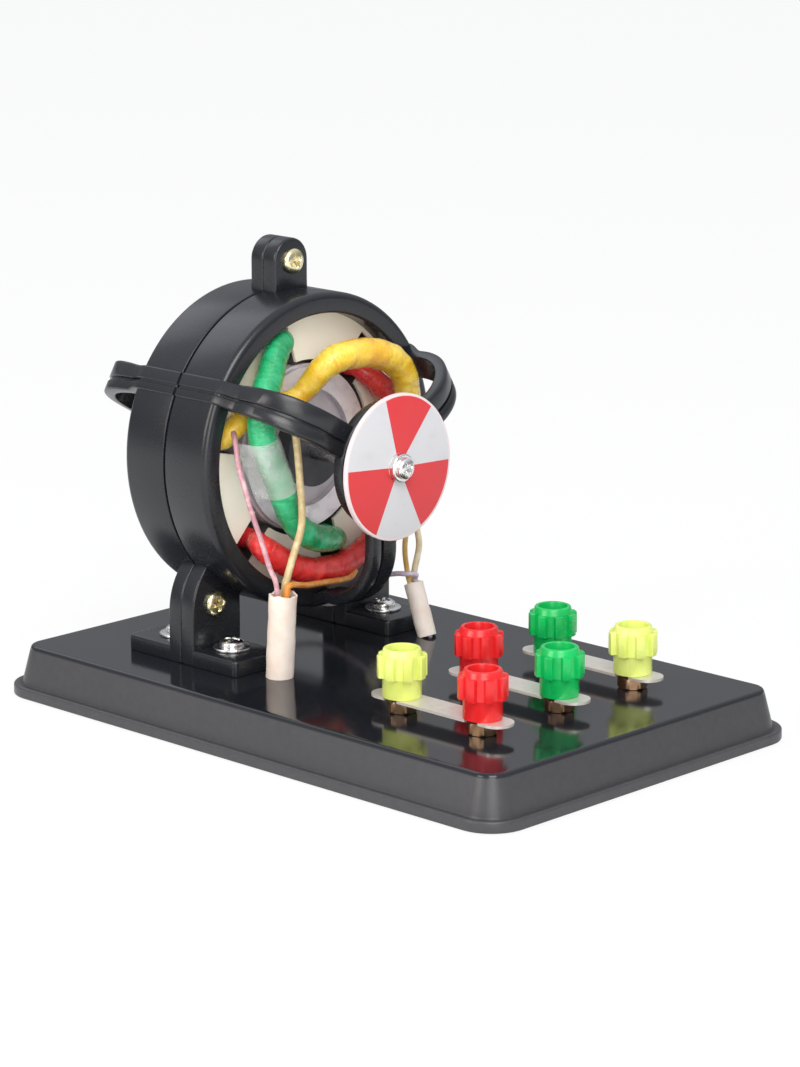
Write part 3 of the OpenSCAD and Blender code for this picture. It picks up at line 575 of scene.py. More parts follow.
def makeBase():
    # inset and height of the section all round: down the hollow's side, under the rim and up the outside
    top, ceiling = base["height"], base["height"] - base["wall"]
    e, lip = base["topEdge"], base["lipHeight"]
    edge = arc((5.45 + e, top - e), e, 180, 90, 8)
    outer = joined([[5.3, ceiling], [5.2, 0.3], [4.9, 0.0], [0.5, 0.0], [0.15, 0.15], [0.0, 0.5]],
        [[0.0, lip - 0.7], [0.1, lip - 0.3], [0.35, lip - 0.05], [0.7, lip]],
        [[2.0, lip], [2.3, lip - 0.25], [2.55, lip - 0.2], [2.72, lip + 0.15], [2.85, lip + 0.7]],
        [[5.35, top - e - 0.2]], edge, [[7.6, top], [12.0, top]])
    rows = []
    for inset, height in outer:
        radius = max(base["corner"] - inset, base["leastCorner"])
        flat = roundedBox(base["halfWidth"] - inset, base["halfLength"] - inset, radius)
        rows.append(np.concatenate([flat, np.full((len(flat), 1), height)], 1))
    makePiece("baseTray", [shell(np.stack(rows))], "stand", "base", ["base"], 40)


makeBase()
print("base made")

housing = {"ring": 49.0, "mouth": 42.5, "inside": 44.6, "depth": 18.0, "armWidth": 10.5, "armThick": 3.8,
    "armOuter": 46.5, "armBend": 20.0, "armRoot": 0.74, "armEnd": 14.0, "easeFrom": 15.5, "ease": 8.0,
    "band": 49.4, "boss": 19.25, "bore": 5.0, "reach": 46.0, "lug": 5.5, "lugTop": 57.5,
    "lugWidth": 14.0}
# ear and foot: their outer and inner side, and the angle at which the ear meets the ring
foot = {"out": 43.0, "inside": 23.0, "length": 24.0, "thick": 5.0, "ringAngle": 41.0}
armAngles = (30.0, 150.0, 270.0)


def ringShell():
    h = housing
    section = joined([[h["inside"], 0.0], [h["ring"] - 1.3, 0.0], [h["ring"] - 1.3, 0.42]],
        arc((h["ring"] - 0.35, 0.77), 0.35, -90, 0, 4),
        arc((h["ring"] - 2.2, h["depth"] - 2.2), 2.2, 0, 90, 10),
        arc((h["mouth"] + 0.9, h["depth"] - 0.9), 0.9, 90, 180, 6),
        [[h["mouth"], 11.2], [h["inside"], 11.2]])
    return lathe(section, 160)


def armSection(thick):
    # half width across, height out of the outer face; two flanges with a groove a little below the middle
    w, t, g = housing["armWidth"] / 2, thick / 2, 0.9
    return joined(arc((w - 0.8, t - 0.8), 0.8, 0, 90, 5),
        [[g + 0.9, t], [g + 0.55, t - 0.25], [g + 0.4, t - 1.1]],
        [[g - 0.4, t - 1.1], [g - 0.55, t - 0.25], [g - 0.9, t]],
        arc((-w + 0.8, t - 0.8), 0.8, 90, 180, 5), arc((-w + 0.6, -t + 0.6), 0.6, 180, 270, 4),
        arc((w - 0.6, -t + 0.6), 0.6, 270, 360, 4))


def turned(flat, across, angle):
    # rows of (distance from the shaft, distance from the split), swung round the shaft to an arm's place
    low = 1.0 if math.cos(math.radians(angle)) >= -0.01 else -1.0
    a = math.radians(angle)
    x = flat[..., 0] * math.cos(a) + low * across * math.sin(a)
    y = flat[..., 0] * math.sin(a) - low * across * math.cos(a)
    return np.stack([x, y, flat[..., 1]], -1)


def armShell(angle):
    # one section carried along the ring's outside, eased in past its front, round a wide bend to the boss
    h = housing
    half = h["armThick"] / 2
    front = h["reach"] - 0.8
    ease = np.linspace(0, 1, 9)
    k = ease * ease * (3 - 2 * ease)
    middle = h["band"] - half
    root = np.stack([middle - (h["band"] - h["armOuter"]) * k, h["easeFrom"] + h["ease"] * ease], -1)
    bend = arc((h["armOuter"] - h["armBend"], front - h["armBend"]), h["armBend"] - half, 0, 90, 24)
    path = joined([[middle, 0.5], [middle, 8.0]], root, bend, [[h["armEnd"], front - half]])
    along = np.gradient(path, axis=0)
    along /= np.linalg.norm(along, axis=1, keepdims=True)
    out = np.stack([along[:, 1], -along[:, 0]], -1)
    section = armSection(h["armThick"])
    wide = np.interp(path[:, 1], [h["depth"], front - 7.0], [h["armRoot"], 1.0])
    flat = path[:, None] + out[:, None] * section[None, :, 1:]
    return turned(flat, wide[:, None] * section[None, :, 0], angle)


def bossShell():
    # disc on the shaft with a bore and a shallow groove round it, its back sloped towards the arms
    b, bore, reach = housing["boss"], housing["bore"], housing["reach"]
    groove = [[bore + 1.6, reach], [bore + 1.2, reach - 0.4], [bore + 0.6, reach - 0.4], [bore + 0.4, reach]]
    section = joined([[bore, reach - 8.0], [b - 5.0, reach - 8.0], [b - 1.2, reach - 4.4]],
        arc((b - 1.0, reach - 3.2), 1.0, -50, 0, 4), arc((b - 0.9, reach - 0.9), 0.9, 0, 90, 6),
        groove, [[bore, reach - 0.3]])
    return lathe(section, 120)


def lugShell():
    # tab with a half-round top, rooted inside the ring
    r, root = housing["lugWidth"] / 2, housing["ring"] - 1.5
    left = [[-r, root + 6.5], [-r, root + 3.5], [-r, root], [-3.0, root]]
    right = [[3.0, root], [r, root], [r, root + 3.5], [r, root + 6.5]]
    outline = joined(arc((0, housing["lugTop"]), r, 0, 180, 28), left, right)
    return slab(outline, 0.0, housing["lug"], 0.9, 0.6)


def earShell(side):
    # flat web from the foot up to the ring; its outer side is a quadratic curve to the ring's edge
    floor = base["height"] - axisZ
    out, inside = -foot["out"], -foot["inside"]
    k = np.linspace(0, 1, 10)[1:, None]
    angle = math.radians(foot["ringAngle"])
    top = np.array([-housing["ring"] * math.cos(angle), -housing["ring"] * math.sin(angle)])
    start, pull = np.array([[out, floor + 15]]), np.array([[out, floor + 24]])
    curve = start * (1 - k) ** 2 + pull * 2 * k * (1 - k) + top * k ** 2
    # two points a little apart keep each corner crisp under the rounding
    sole = [[inside, floor + 0.4], [inside - 0.4, floor], [-33.0, floor], [out + 0.4, floor]]
    outer = [[out, floor + up] for up in (0.4, 6, 11, 15)]
    inner = [[inside, height] for height in (-41.2, -50.0, -56.0)]
    outline = joined(sole, outer, curve, [[-33.2, -33.2], [inside - 0.4, -40.9]], inner)
    points = slab(outline, 0.0, housing["lug"], 0.7, 0.6)
    points[..., 0] *= -side
    return points


def footShell(side):
    # flange lying on the base, its rim rounded, cut off at the split
    low = base["height"]
    halfWidth, halfLength = (foot["out"] - foot["inside"]) / 2, foot["length"] / 2
    outline = roundedBox(halfWidth - 0.03, halfLength - 0.02, 1.6, 6, 3)
    outline[:, 0] += halfWidth - foot["out"]
    points = slab(outline, low, low + foot["thick"], 0.8, 0.3)
    points = np.stack([points[..., 0] * -side, points[..., 2] - axisZ, points[..., 1] + halfLength], -1)
    points[..., 2] = np.maximum(points[..., 2], 0.02)
    return points


def makeHousing(name, node, frameAxes):
    # each local shell is (x, up from the shaft, out from the split)
    parts = [shell(ringShell(), True), shell(bossShell(), True), shell(lugShell())]
    parts += [shell(armShell(angle)) for angle in armAngles]
    for side in (-1, 1):
        parts += [shell(earShell(side)), shell(footShell(side))]
    moved = turnedOut(parts, (0, seamY, axisZ), frameAxes)
    makePiece(name, moved, "stand", "housing", [node], 38)


makeHousing("frontShell", "front_housing", facingFront)
makeHousing("rearShell", "rear_housing", facingBack)
print("housing made")

screw = {"head": 7.8, "height": 2.3, "shank": 4.0, "crossWidth": 1.25, "crossLength": 4.6, "crossDepth": 1.25,
    "clampLength": 14.8, "footLength": 12.2}
nut = {"flats": 7.0, "height": 3.2, "bore": 2.0}
washer = {"bore": 2.2, "outside": 5.8, "thick": 1.0, "edge": 0.3}


def headShell(diameter, height, turn, scale=1.0):
    # pan head: z = dome(r) minus a cross-shaped recess with soft walls
    radius = diameter / 2
    rim = radius * np.sin(np.linspace(math.asin(0.83), math.pi / 2, 9))
    r = np.concatenate([np.linspace(0.02, radius * 0.82, 30), rim])
    columns = 96
    a = np.linspace(0, 2 * math.pi, columns, endpoint=False) + turn
    rr, aa = np.meshgrid(r, a, indexing="ij")
    x, y = rr * np.cos(aa - turn), rr * np.sin(aa - turn)
    dome = height * (0.34 + 0.66 * np.sqrt(np.clip(1 - (rr / radius) ** 3.0, 0, 1)))
    u = np.abs(x * np.cos(turn) + y * np.sin(turn))
    v = np.abs(-x * np.sin(turn) + y * np.cos(turn))
    half, reach = screw["crossWidth"] / 2 * scale, screw["crossLength"] / 2 * scale

    def arm(p, q):
        return np.clip((half - p) / 0.16 + 0.5, 0, 1) * np.clip((reach - q) / 0.5 + 0.5, 0, 1)

    cross = np.maximum(arm(u, v), arm(v, u))
    z = dome - cross * screw["crossDepth"] * scale * (1.0 - 0.55 * rr / reach).clip(0.2, 1)
    top = np.stack([x, y, z], -1)
    skirt = np.stack([x[-1], y[-1], np.zeros(columns)], -1)[None]
    inner = skirt * 0.5
    return shell(np.concatenate([top, skirt, inner]))


def shankShell(diameter, length, pitch=0.7):
    # threaded shank below z = 0: radius falls and rises with height and angle
    rows, columns = int(length / pitch * 5), 24
    z = np.linspace(-0.05, -length, rows)[:, None]
    a = np.linspace(0, 2 * math.pi, columns, endpoint=False)[None, :]
    phase = (z / pitch + a / (2 * math.pi)) % 1.0
    r = diameter / 2 - 0.02 - 0.28 * np.abs(phase - 0.5) * 2 * (z < -2.0)
    r = np.minimum(r, diameter / 2 - 0.5 + (z + length))
    return shell(np.stack([r * np.cos(a), r * np.sin(a), z + 0 * a], -1))


def nutShell(flats, height, bore, turn):
    # hexagon r = a / cos(angle from the nearest flat), cut by a chamfer cone at both faces
    a = np.linspace(0, 2 * math.pi, 144, endpoint=False)
    hexagon = flats / 2 / np.cos((a % (math.pi / 3)) - math.pi / 6)
    soft = np.minimum(hexagon, flats / 2 * 1.135)
    face = np.minimum(soft, flats / 2 * 0.97)
    rows = [(0 * a + bore + 0.3, 0), (face, 0), (np.minimum(soft, flats / 2 * 1.03), 0.18), (soft, 0.62),
        (soft, height - 0.62), (np.minimum(soft, flats / 2 * 1.03), height - 0.18), (face, height),
        (0 * a + bore + 0.3, height), (0 * a + bore, height - 0.35), (0 * a + bore, 0.35)]
    c, s = np.cos(a + turn), np.sin(a + turn)
    return shell(np.stack([np.stack([r * c, r * s, 0 * a + z], -1) for r, z in rows]), True)


# (x, z, turn of the cross) of the clamp screws, and (x, y, turn) of the foot screws
clampPlaces = [(0, 135.5, 0.35), (-34, 34, 0.1), (34, 34, 0.7)]
footPlaces = [(-33, 35, 0.5), (-33, 59, 1.0), (33, 35, 0.2), (33, 59, 0.8)]


def screwShells(length, turn):
    return [headShell(screw["head"], screw["height"], turn), shankShell(screw["shank"], length)]


def plainNut(turn):
    return [nutShell(nut["flats"], nut["height"], nut["bore"], turn)]


def makeFasteners():
    heads, nuts = [], []
    reach = housing["lug"]
    for x, z, turn in clampPlaces:
        heads += turnedOut(screwShells(screw["clampLength"], turn), (x, seamY - reach, z), facingFront)
        nuts += turnedOut(plainNut(turn), (x, seamY + reach, z), facingBack)
    makePiece("clampScrews", heads, "stand", "brass", ["clamp_screws"], 32)
    makePiece("clampNuts", nuts, "stand", "brass", ["clamp_nuts"], 25)
    heads, rings, nuts = [], [], []
    top = base["height"] + foot["thick"]
    ceiling = base["height"] - base["wall"]
    flatRing = lathe(rimmed(washer["bore"], washer["outside"], washer["thick"], washer["edge"], 4), 72)
    for x, y, turn in footPlaces:
        heads += turnedOut(screwShells(screw["footLength"], turn), (x, y, top + washer["thick"]), upright)
        rings += turnedOut([shell(flatRing, True)], (x, y, top), upright)
        nuts += turnedOut(plainNut(turn), (x, y, ceiling - nut["height"]), upright)
    makePiece("footScrews", heads, "stand", "steel", ["foot_screws"], 32)
    makePiece("footWashers", rings, "stand", "steel", ["foot_washers"], 30)
    makePiece("footNuts", nuts, "stand", "steel", ["foot_nuts"], 25)


makeFasteners()
print("fasteners made")

# each front route is (angle, distance from the shaft, y, share of the thickness); heart is the angle that the
# coil is wound about. Parts of the routes are points picked in the picture that a program turned into
# angle and distance through the fitted camera, so they aren't all round numbers chosen by hand
coils = {
    "yellow": {"thick": 6.6, "heart": 77, "seed": 3, "route": [
        (167, 36.5, 38, 1), (166.2, 36.5, 34.8, 1), (160, 35.5, 32.2, 1), (152.5, 31.8, 32.3, 1),
        (143, 26.5, 31.8, 1), (130, 22, 31, 1), (116, 20.3, 30, 1.02), (105.5, 22.5, 28, 1.1),
        (99, 25.9, 25.6, 1.2), (90.9, 28.8, 23.7, 1.32), (81.2, 30.5, 22.5, 1.38),
        (68.2, 32.2, 22, 1.4), (55.6, 34.1, 22, 1.4), (45.1, 35.6, 22, 1.38), (36, 35.7, 22, 1.32),
        (26, 34.6, 22.4, 1.25), (14, 33.8, 23.2, 1.15), (3, 32.6, 24.8, 1.05), (-6, 31.2, 28, 1),
        (-11.8, 30.8, 32.6, 1), (-13, 31, 38, 1)]},
    "green": {"thick": 7.2, "heart": 197, "seed": 5, "route": [
        (107, 37, 38, 1), (107.6, 37, 35, 1), (110.5, 37.1, 32.6, 1), (117, 36.8, 31.2, 1.08),
        (126, 35.7, 28.8, 1.15), (134.4, 35, 27, 1.2), (142.8, 35.1, 25.2, 1.2),
        (150.5, 34.8, 23.9, 1.2), (158.5, 33.3, 23.1, 1.2), (164, 31.7, 22.9, 1.2),
        (170, 29.3, 22.9, 1.22), (179.6, 26.8, 23, 1.22), (192.1, 24.6, 23, 1.2),
        (206.6, 24.2, 23, 1.15), (218.5, 25, 23, 1.1), (230, 25.9, 23, 1.12),
        (241.9, 26.2, 23.5, 1.15), (256.4, 26.6, 24.5, 1.15), (270, 27.2, 26.2, 1.1),
        (280, 28.8, 28.8, 1.02), (285, 30.6, 31.6, 1), (286.8, 31, 34.6, 1), (287, 31, 38, 1)]},
    "red": {"thick": 6.4, "heart": 317, "seed": 8, "route": [
        (227, 34, 38, 1), (226.6, 34.2, 34.8, 1), (224.3, 35.2, 31.6, 1.02), (223, 36.2, 29.6, 1.1),
        (225.5, 36.6, 28.3, 1.2), (232, 36.3, 27.9, 1.28), (244.7, 36.4, 27.9, 1.3),
        (258.7, 36.9, 28.1, 1.3), (272.4, 37.4, 28.2, 1.28), (284, 37.9, 28.3, 1.22),
        (298, 38.2, 28.5, 1.12), (314, 38.3, 28.9, 1.05), (328, 38.4, 29.3, 1), (342, 38.4, 29.8, 1),
        (355, 38.2, 30.8, 1), (367, 37, 31.2, 1.02), (378, 35, 31.2, 1.1), (388.5, 32.4, 31, 1.15),
        (398, 30.8, 31.2, 1.1), (404.5, 30.7, 33, 1), (406.8, 31, 35.2, 1), (407, 31, 38, 1)]},
}


def aroundShaft(route):
    # (angle, distance from the shaft, y, share of thickness) to (x, y, z, share)
    p = np.asarray(route, float)
    a = np.radians(p[:, 0])
    return np.stack([p[:, 1] * np.cos(a), p[:, 2], axisZ + p[:, 1] * np.sin(a), p[:, 3]], -1)


def coilHeart(coil):
    return aroundShaft([(coil["heart"], 12, seamY, 1)])[:, :3]


def makeCoil(name):
    # bundle along its loop: r = R (0.985 + helical tape steps + waves)
    c = coils[name]
    front = aroundShaft(c["route"])
    rear = front[::-1] * [1, -1, 1, 1] + [0, 2 * seamY, 0, 0]
    path, along = even(smoothed(np.concatenate([front, rear]), 10, True), 0.6, True)
    path, share = path[:, :3], path[:, 3:]
    rows, columns = len(path), 28
    turn = along[:-1, None] * 0.16 + np.linspace(0, 1, columns, endpoint=False)[None, :]
    wobble = ripple(rows, columns, c["seed"], 26, 20, 95)
    step = (turn + 0.12 * ripple(rows, columns, c["seed"] + 1, 8, 4, 30)) % 1.0
    slow = ripple(rows, columns, c["seed"] + 2, 8, 2, 14)
    radius = c["thick"] / 2 * share * (0.985 + 0.022 * step + 0.020 * wobble + 0.018 * slow)
    wound = tube(path, radius, columns, along, True, coilHeart(c))
    makePiece(name + "Winding", [wound], "stand", name + "Tape", [name + "_coil"], 60)


for coilName in coils:
    makeCoil(coilName)

# where along the coil the film lies (degrees round the shaft), and how far round the coil it wraps
film = {"from": 162.0, "to": 201.0, "clear": 0.22, "thick": 0.14, "inner": -80.0, "outer": 62.0, "flap": 6.0,
    "lift": 0.12, "deepest": 26.0}


def makeFilm():
    # milky sheet wrapped over the green coil's front, with a flap that runs on away from the shaft
    c, f = coils["green"], film
    path, _ = even(smoothed(aroundShaft(c["route"]), 10), 0.8)
    angle = np.degrees(np.arctan2(path[:, 2] - axisZ, path[:, 0])) % 360
    path = path[(angle > f["from"]) & (angle < f["to"]) & (path[:, 1] < f["deepest"])]
    path, share = path[:, :3], path[:, 3]
    _, side, up = carriedFrame(path, False, coilHeart(c))
    radial = path - np.array([0, seamY, axisZ])
    up *= np.sign(np.sum(up * radial, 1, keepdims=True))
    radius = c["thick"] / 2 * share * 1.03 + f["clear"]
    last = math.radians(f["outer"])
    rows = []
    for offset in (0.0, f["thick"]):
        r = (radius + offset)[:, None, None]
        a = np.radians(np.linspace(f["inner"], f["outer"], 22))[None, :, None]
        wrap = path[:, None] + r * (np.cos(a) * side[:, None] + np.sin(a) * up[:, None])
        k = np.linspace(0, 1, 9)[None, 1:, None]
        # the flap leaves along the wrap's tangent and flattens outwards
        leave = (-math.sin(last) * side + math.cos(last) * up)[:, None]
        flap = wrap[:, -1:] + f["flap"] * (leave * k + up[:, None] * f["lift"] * k * k)
        rows.append(np.concatenate([wrap, flap], 1))
    wave = f["lift"] * np.sin(np.linspace(0, 9, len(path)))[:, None, None] * side[:, None]
    half = rows[0].shape[1]
    free = np.concatenate([np.linspace(0, 1, half), np.linspace(1, 0, half)])[None, :, None]
    points = np.concatenate([rows[1], rows[0][:, ::-1]], 1) + wave * free
    makePiece("coilFilm", [shell(points)], "stand", "film", (), 50)


makeFilm()
print("coils made")

# routes from a coil, down through a sleeve and under the base to a post's tag
leads = {
    "pink": [
        (-35.3, 31, 89.5), (-37.5, 27.8, 87), (-38.6, 25.3, 80), (-38.2, 23, 73), (-37, 21.5, 66),
        (-35.1, 20, 58.5), (-34.2, 17, 49.5), (-33.8, 14.1, 41.5), (-33.8, 15.9, 15.5),
        (-33.7, 16, 12), (-32, 17, 8), (-20, 14, 7.5), (5, -2, 7.5), (25, -15, 8.5), (31.5, -19.5, 11),
        (33, -22.5, 11.9), (33, -25, 11.9)],
    "tan": [
        (-27, 21.4, 96.6), (-25.8, 18.4, 94.8), (-23.8, 17, 91.2), (-22.8, 16.5, 85),
        (-21.8, 16.5, 75.5), (-20.9, 16.5, 66), (-21.5, 16.4, 59), (-25, 16, 52), (-29, 14.8, 45.5),
        (-30.8, 14.1, 41.5), (-30.8, 15.9, 15.5), (-30.6, 15.7, 12.5), (-27, 12, 10.5),
        (-14, -5, 10.5), (-3, -16, 10.8), (0, -22, 11.9), (0, -25, 11.9)],
    "orange": [
        (11.5, 26, 38.6), (6.5, 24, 37.4), (-6.3, 21.5, 38.9), (-18.5, 16.5, 41.2), (-26.6, 13, 43.4),
        (-30.5, 11.6, 44.2), (-32.3, 11.6, 41.5), (-32.3, 13.3, 15.5), (-32.3, 13.2, 12.5),
        (-32.7, 8, 10.5), (-33, -10, 10.5), (-33, -22, 11.9), (-33, -25, 11.9)],
    "beige": [
        (33.4, 26.6, 57.4), (34.5, 23, 52), (35, 21, 44), (33.7, 21.6, 36), (33.3, 21.4, 31.5),
        (33.3, 15.5, 15.5), (33.4, 14.9, 12), (36, 12, 7.5), (43, 0, 6.5), (43, -37, 6.5),
        (38, -47, 8.5), (33, -53.5, 11.9), (33, -57, 11.9)],
    "amber": [
        (31.3, 24.6, 74.6), (31, 20.5, 67), (28.5, 19, 56), (27, 19.5, 45), (30, 21.4, 36),
        (31.3, 21.4, 31.5), (31.3, 15.5, 15.5), (31.1, 15.2, 12), (28, 16, 6.5), (10, 14, 4.6),
        (-10, 5, 4.6), (-16.5, -15, 4.6), (-16.5, -40, 4.6), (-25, -48, 7.5), (-33, -53.5, 11.9),
        (-33, -57, 11.9)],
    "lilac": [
        (7, 67.2, 48.6), (8.8, 70.6, 47.2), (12, 72, 42), (15.5, 71.5, 35), (17.5, 68.5, 28.5),
        (19, 58, 24), (19.5, 47, 22.5), (22.5, 37.5, 26), (28, 30.5, 32.5), (27.8, 24.5, 34.8),
        (28.2, 20.4, 35.4), (30.9, 18.4, 35), (32.3, 19.7, 31.5), (32.3, 13.7, 15.5),
        (32.4, 13.2, 12.5), (30.5, 9.5, 6.5), (22, -5, 4.6), (16.5, -20, 4.6), (16.5, -40, 4.6),
        (8, -48, 7.5), (0, -53.5, 11.9), (0, -57, 11.9)],
}
leadRadius = {"pink": 0.8, "tan": 1.15, "orange": 0.95, "beige": 1.0, "amber": 0.85, "lilac": 0.8}


def makeLeads():
    # round wire through its route's points
    for name, route in leads.items():
        path, along = even(smoothed(route, 8), 1.0)
        wire = tube(path, leadRadius[name], 14, along)
        makePiece(name + "Wire", [wire], "stand", name + "Lead", [name + "_lead"], 60)


makeLeads()

sleeves = {
    "left": {"foot": (-32.3, 14.9, base["height"]), "top": (-32.3, 13.2, 41.8), "outside": 4.25, "wall": 0.7,
             "ragged": 0.5},
    "right": {"foot": (32.3, 14.9, base["height"]), "top": (32.3, 21.0, 32.0), "outside": 3.05, "wall": 0.6,
              "ragged": 0.35},
}


def makeSleeve(name):
    # thin tube: up the outside and down the inside, its top cut uneven and its wall slightly dented
    s = sleeves[name]
    start, top = np.array(s["foot"]), np.array(s["top"])
    length = np.linalg.norm(top - start)
    along = (top - start) / length
    side = np.array([1.0, 0, 0])
    up = np.cross(along, side)
    a = np.linspace(0, 2 * math.pi, 48, endpoint=False)
    cut = 0.5 * np.sin(2 * a + 0.6) + 0.3 * np.sin(5 * a + 2) + 0.2 * np.sin(9 * a + 1)
    ragged = s["ragged"] * cut - 0.35
    outer = np.linspace(0.0, 1.0, 26)[:, None]
    dent = 1 + 0.012 * np.sin(outer * 9 + 2 * a) + 0.012 * np.sin(outer * 21 + a)
    rOut = s["outside"] * dent
    hOut = outer * (length + ragged)
    rIn = (s["outside"] - s["wall"]) * dent[::-1]
    hIn = hOut[::-1]
    r = np.concatenate([rOut, rOut[-1:] - 0.5 * s["wall"], rIn], 0)
    h = np.concatenate([hOut, hOut[-1:] + 0.12, hIn], 0)
    points = start + along * h[..., None]
    points = points + side * (r * np.cos(a))[..., None] + up * (r * np.sin(a))[..., None]
    points[..., 2] = np.maximum(points[..., 2], base["height"] + 0.02)
    makePiece(name + "Sleeve", [shell(points, True)], "stand", "sleeve", [name + "_sleeve"], 50)


for sleeveName in sleeves:
    makeSleeve(sleeveName)
print("leads and sleeves made")

disc = {"radius": 22.5, "thick": 1.5, "front": -4.0, "back": -2.5, "edge": 0.3, "bore": 1.7}
collar = {"foot": 4.4, "top": 3.9, "height": 2.0, "round": 0.5}
discScrew = {"head": 6.6, "height": 2.2, "turn": 0.5, "cross": 0.85, "shank": 3.0, "length": 11.4,
    "pitch": 0.5}


def makeDisc():
    # disc, the round-edged collar in front of it and the screw in the shaft's end
    d = disc
    flat = rimmed(d["bore"], d["radius"], d["thick"], d["edge"], 5)
    points = placed(lathe(flat, 180), (0, d["back"], axisZ), *facingFront)
    makePiece("sectorDisc", [shell(points, True)], "rotor", "disc", ["indicator_disc"], 40)
    c = collar
    crown = arc((c["top"], c["height"] - c["round"]), c["round"], 0, 90, 6)
    section = joined([[d["bore"], 0.0], [c["foot"], 0.0]], arc((c["foot"] - 0.2, 0.3), 0.2, -90, 0, 3),
        crown, [[d["bore"], c["height"]]])
    ring = placed(lathe(section, 72), (0, d["front"], axisZ), *facingFront)
    makePiece("discCollar", [shell(ring, True)], "rotor", "steel", ["disc_collar"], 35)
    w = discScrew
    shells = [headShell(w["head"], w["height"], w["turn"], w["cross"])]
    shells += [shankShell(w["shank"], w["length"], w["pitch"])]
    head = turnedOut(shells, (0, d["front"] - c["height"], axisZ), facingFront)
    makePiece("discScrew", head, "rotor", "steel", ["disc_screw"], 32)


makeDisc()
print("disc made")

posts = {"left": -33.0, "middle": 0.0, "right": 33.0}
rowY = {"rear": -37.0, "front": -69.0}
knobColour = {"left_rear": "yellow", "middle_rear": "red", "right_rear": "green", "left_front": "red",
    "middle_front": "green", "right_front": "yellow"}
knob = {"foot": 20.1, "collar": 5.8, "core": 6.0, "rib": 7.4, "ribWidth": 3.0, "ribs": 8, "ribTurn": 0.3,
    "rim": 5.3, "socket": 4.3, "bore": 3.62, "collarHeight": 6.0, "height": 14.8, "crown": 2.0}
postNut = {"flats": 8.0, "height": 3.8, "bore": 2.5, "turn": 15}


def postPlace(place, z):
    column, row = place.split("_")
    return (posts[column], rowY[row], z)


def makeKnob(place):
    # section (radius, height, rib share) turned about Z; the ribs add (rib - core) * share * mask(angle)
    k = knob
    collar, core, rim, socket, bore = (k[part] for part in ("collar", "core", "rim", "socket", "bore"))
    low, high, top = k["collarHeight"], k["height"] - k["crown"], k["height"]
    collarPart = [[bore, 0.0, 0], [collar - 0.3, 0.0, 0], [collar - 0.08, 0.1, 0], [collar, 0.35, 0],
        [collar, low - 0.1, 0], [collar + 0.05, low, 0]]
    ribPart = [[core - 0.05, low + 0.02, 0.8], [core, low + 0.1, 0.93], [core, low + 0.3, 1],
        [core, high - 0.45, 1], [core, high - 0.15, 0.95], [core, high - 0.03, 0.8], [core, high, 0.5]]
    crownPart = [[core - 0.02, high + 0.05, 0], [core - 0.12, high + 0.3, 0], [rim + 0.25, top - 0.35, 0],
        [rim + 0.05, top - 0.1, 0], [rim - 0.25, top, 0]]
    socketPart = [[socket + 0.35, top, 0], [socket + 0.1, top - 0.1, 0], [socket, top - 0.4, 0],
        [socket, low + 0.9, 0], [socket - 0.1, low + 0.65, 0], [bore, low + 0.6, 0]]
    section = joined(collarPart, ribPart, crownPart, socketPart)
    a = np.linspace(0, 2 * math.pi, 192, endpoint=False)
    off = ((a / (2 * math.pi) * k["ribs"] + 0.5) % 1.0 - 0.5) * (2 * math.pi / k["ribs"]) * k["rib"]
    mask = np.clip((k["ribWidth"] / 2 - np.abs(off)) / 0.35 + 0.5, 0, 1)
    mask = mask * mask * (3 - 2 * mask)
    r = section[:, :1] + (k["rib"] - core) * section[:, 2:] * mask[None, :]
    spin = a + 2 * math.pi * k["ribTurn"] / k["ribs"]
    points = np.stack([r * np.cos(spin), r * np.sin(spin), section[:, 1:2] + 0 * r], -1)
    colour = knobColour[place]
    moved = placed(points, postPlace(place, k["foot"]), *upright)
    makePiece(place + "_cap", [shell(moved, True)], place + "_knob", colour + "Knob",
        [place + "_knob"], 42)


def makePosts():
    nuts = []
    n = postNut
    for i, place in enumerate(knobColour):
        makeKnob(place)
        loose = nutShell(n["flats"], n["height"], n["bore"], math.radians(n["turn"] * i))
        nuts += turnedOut([loose], postPlace(place, base["height"]), upright)
    makePiece("postNuts", nuts, "stand", "nutBrass", ["post_nuts"], 25)


makePosts()
print("posts made")

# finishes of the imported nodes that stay
nodeFinish = {
    "stator_core": "core", "front_end_plate": "liner", "rear_end_plate": "liner", "rotor_core": "rotor",
    "rotor_cage": "cage", "shaft": "shaft", "rotor_spacers": "spacer", "front_bearing": "bush",
    "rear_bearing": "bush", "disc_seat": "nutBrass", "post_studs": "nutBrass", "tag_nuts": "nutBrass",
    "solder_tags": "tin", "left_link": "tin", "middle_link": "tin", "right_link": "tin",
}
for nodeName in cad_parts:
    if nodeName.endswith("_insert"):
        nodeFinish[nodeName] = "nutBrass"
for nodeName, material in nodeFinish.items():
    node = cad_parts[nodeName]
    node.data.materials.clear()
    node.data.materials.append(finish[material])

studio = {"floor": (0.86, 0.86, 0.86), "sky": ((0.0, (0.20, 0.20, 0.205)), (0.75, (0.80, 0.82, 0.88)))}


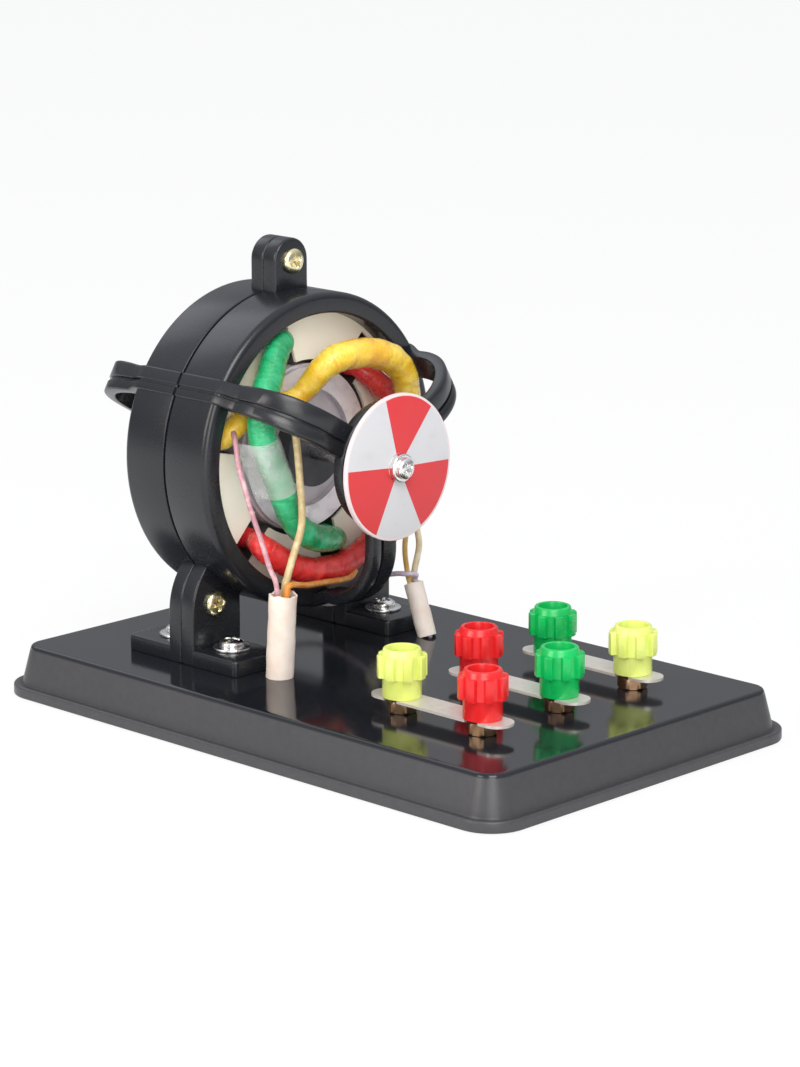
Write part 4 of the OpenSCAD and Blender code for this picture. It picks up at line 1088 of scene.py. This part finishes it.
def makeStudio():
    paint = Paint("paleFloor", Roughness=0.6, Specular_IOR_Level=0.1)
    grain = paint.noise(8.0, 2.0, 0.5)
    paint.set("Base Color", paint.mix(grain * 0.15, studio["floor"], (0.84, 0.84, 0.84)))
    through = paint.node("ShaderNodeLightPath", out="Is Transmission Ray")
    seen = paint.node("ShaderNodeLightPath", out="Is Camera Ray").most(through)
    glow = paint.node("ShaderNodeEmission", {}, {"Color": (1, 1, 1), "Strength": 1.0})
    output = paint.tree.nodes["Material Output"].inputs["Surface"]
    matt = Value(paint, paint.shader.outputs[0])
    paint.put(output, paint.node("ShaderNodeMixShader", {}, {0: seen * 0.86, 1: matt, 2: glow}))
    bpy.ops.mesh.primitive_grid_add(x_subdivisions=2, y_subdivisions=2, size=12, location=(0, 0, 0))
    floor = bpy.context.object
    floor.name = "floor"
    floor.data.materials.append(paint.material)
    floor.location.z = -0.0002

    world = bpy.data.worlds.new("studio")
    world.use_nodes = True
    bpy.context.scene.world = world
    # grey from below to pale from above as a lamp, and plain white to the camera
    sky = Nodes(world.node_tree)
    _, _, height = sky.parts(sky.node("ShaderNodeTexCoord", out="Generated"))
    ramp = sky.node("ShaderNodeValToRGB", {}, {0: height})
    for element, (position, colour) in zip(ramp.socket.node.color_ramp.elements, studio["sky"]):
        element.position = position
        element.color = (*colour, 1)
    seen = sky.node("ShaderNodeLightPath", out="Is Camera Ray")
    sky.put(sky.tree.nodes["Background"].inputs[0], sky.mix(seen, ramp, (1, 1, 1)))

    lamps = {
        "key": ((-0.55, -0.75, 1.1), 0.7, 11.0, (1.0, 0.98, 0.95)),
        "left": ((-1.2, 0.25, 0.55), 0.6, 6.0, (1.0, 0.93, 0.85)),
        "back": ((0.1, 1.2, 1.15), 0.8, 2.0, (0.9, 0.95, 1.0)),
        "fill": ((-0.85, -1.0, 0.42), 0.7, 6.0, (1.0, 0.99, 0.97)),
    }
    for name, (place, size, power, colour) in lamps.items():
        lamp = bpy.data.lights.new(name, "AREA")
        lamp.size = size
        lamp.energy = power
        lamp.color = colour
        holder = bpy.data.objects.new(name, lamp)
        holder.location = place
        aim = np.array([0, 0, 0.06]) - np.array(place)
        yaw = math.atan2(-aim[0], aim[1])
        pitch = math.atan2(aim[2], math.hypot(aim[0], aim[1]))
        holder.rotation_euler = (math.pi / 2 + pitch, 0, yaw)
        bpy.context.scene.collection.objects.link(holder)


makeStudio()
bpy.context.scene.view_settings.view_transform = "Standard"
print("scene made")
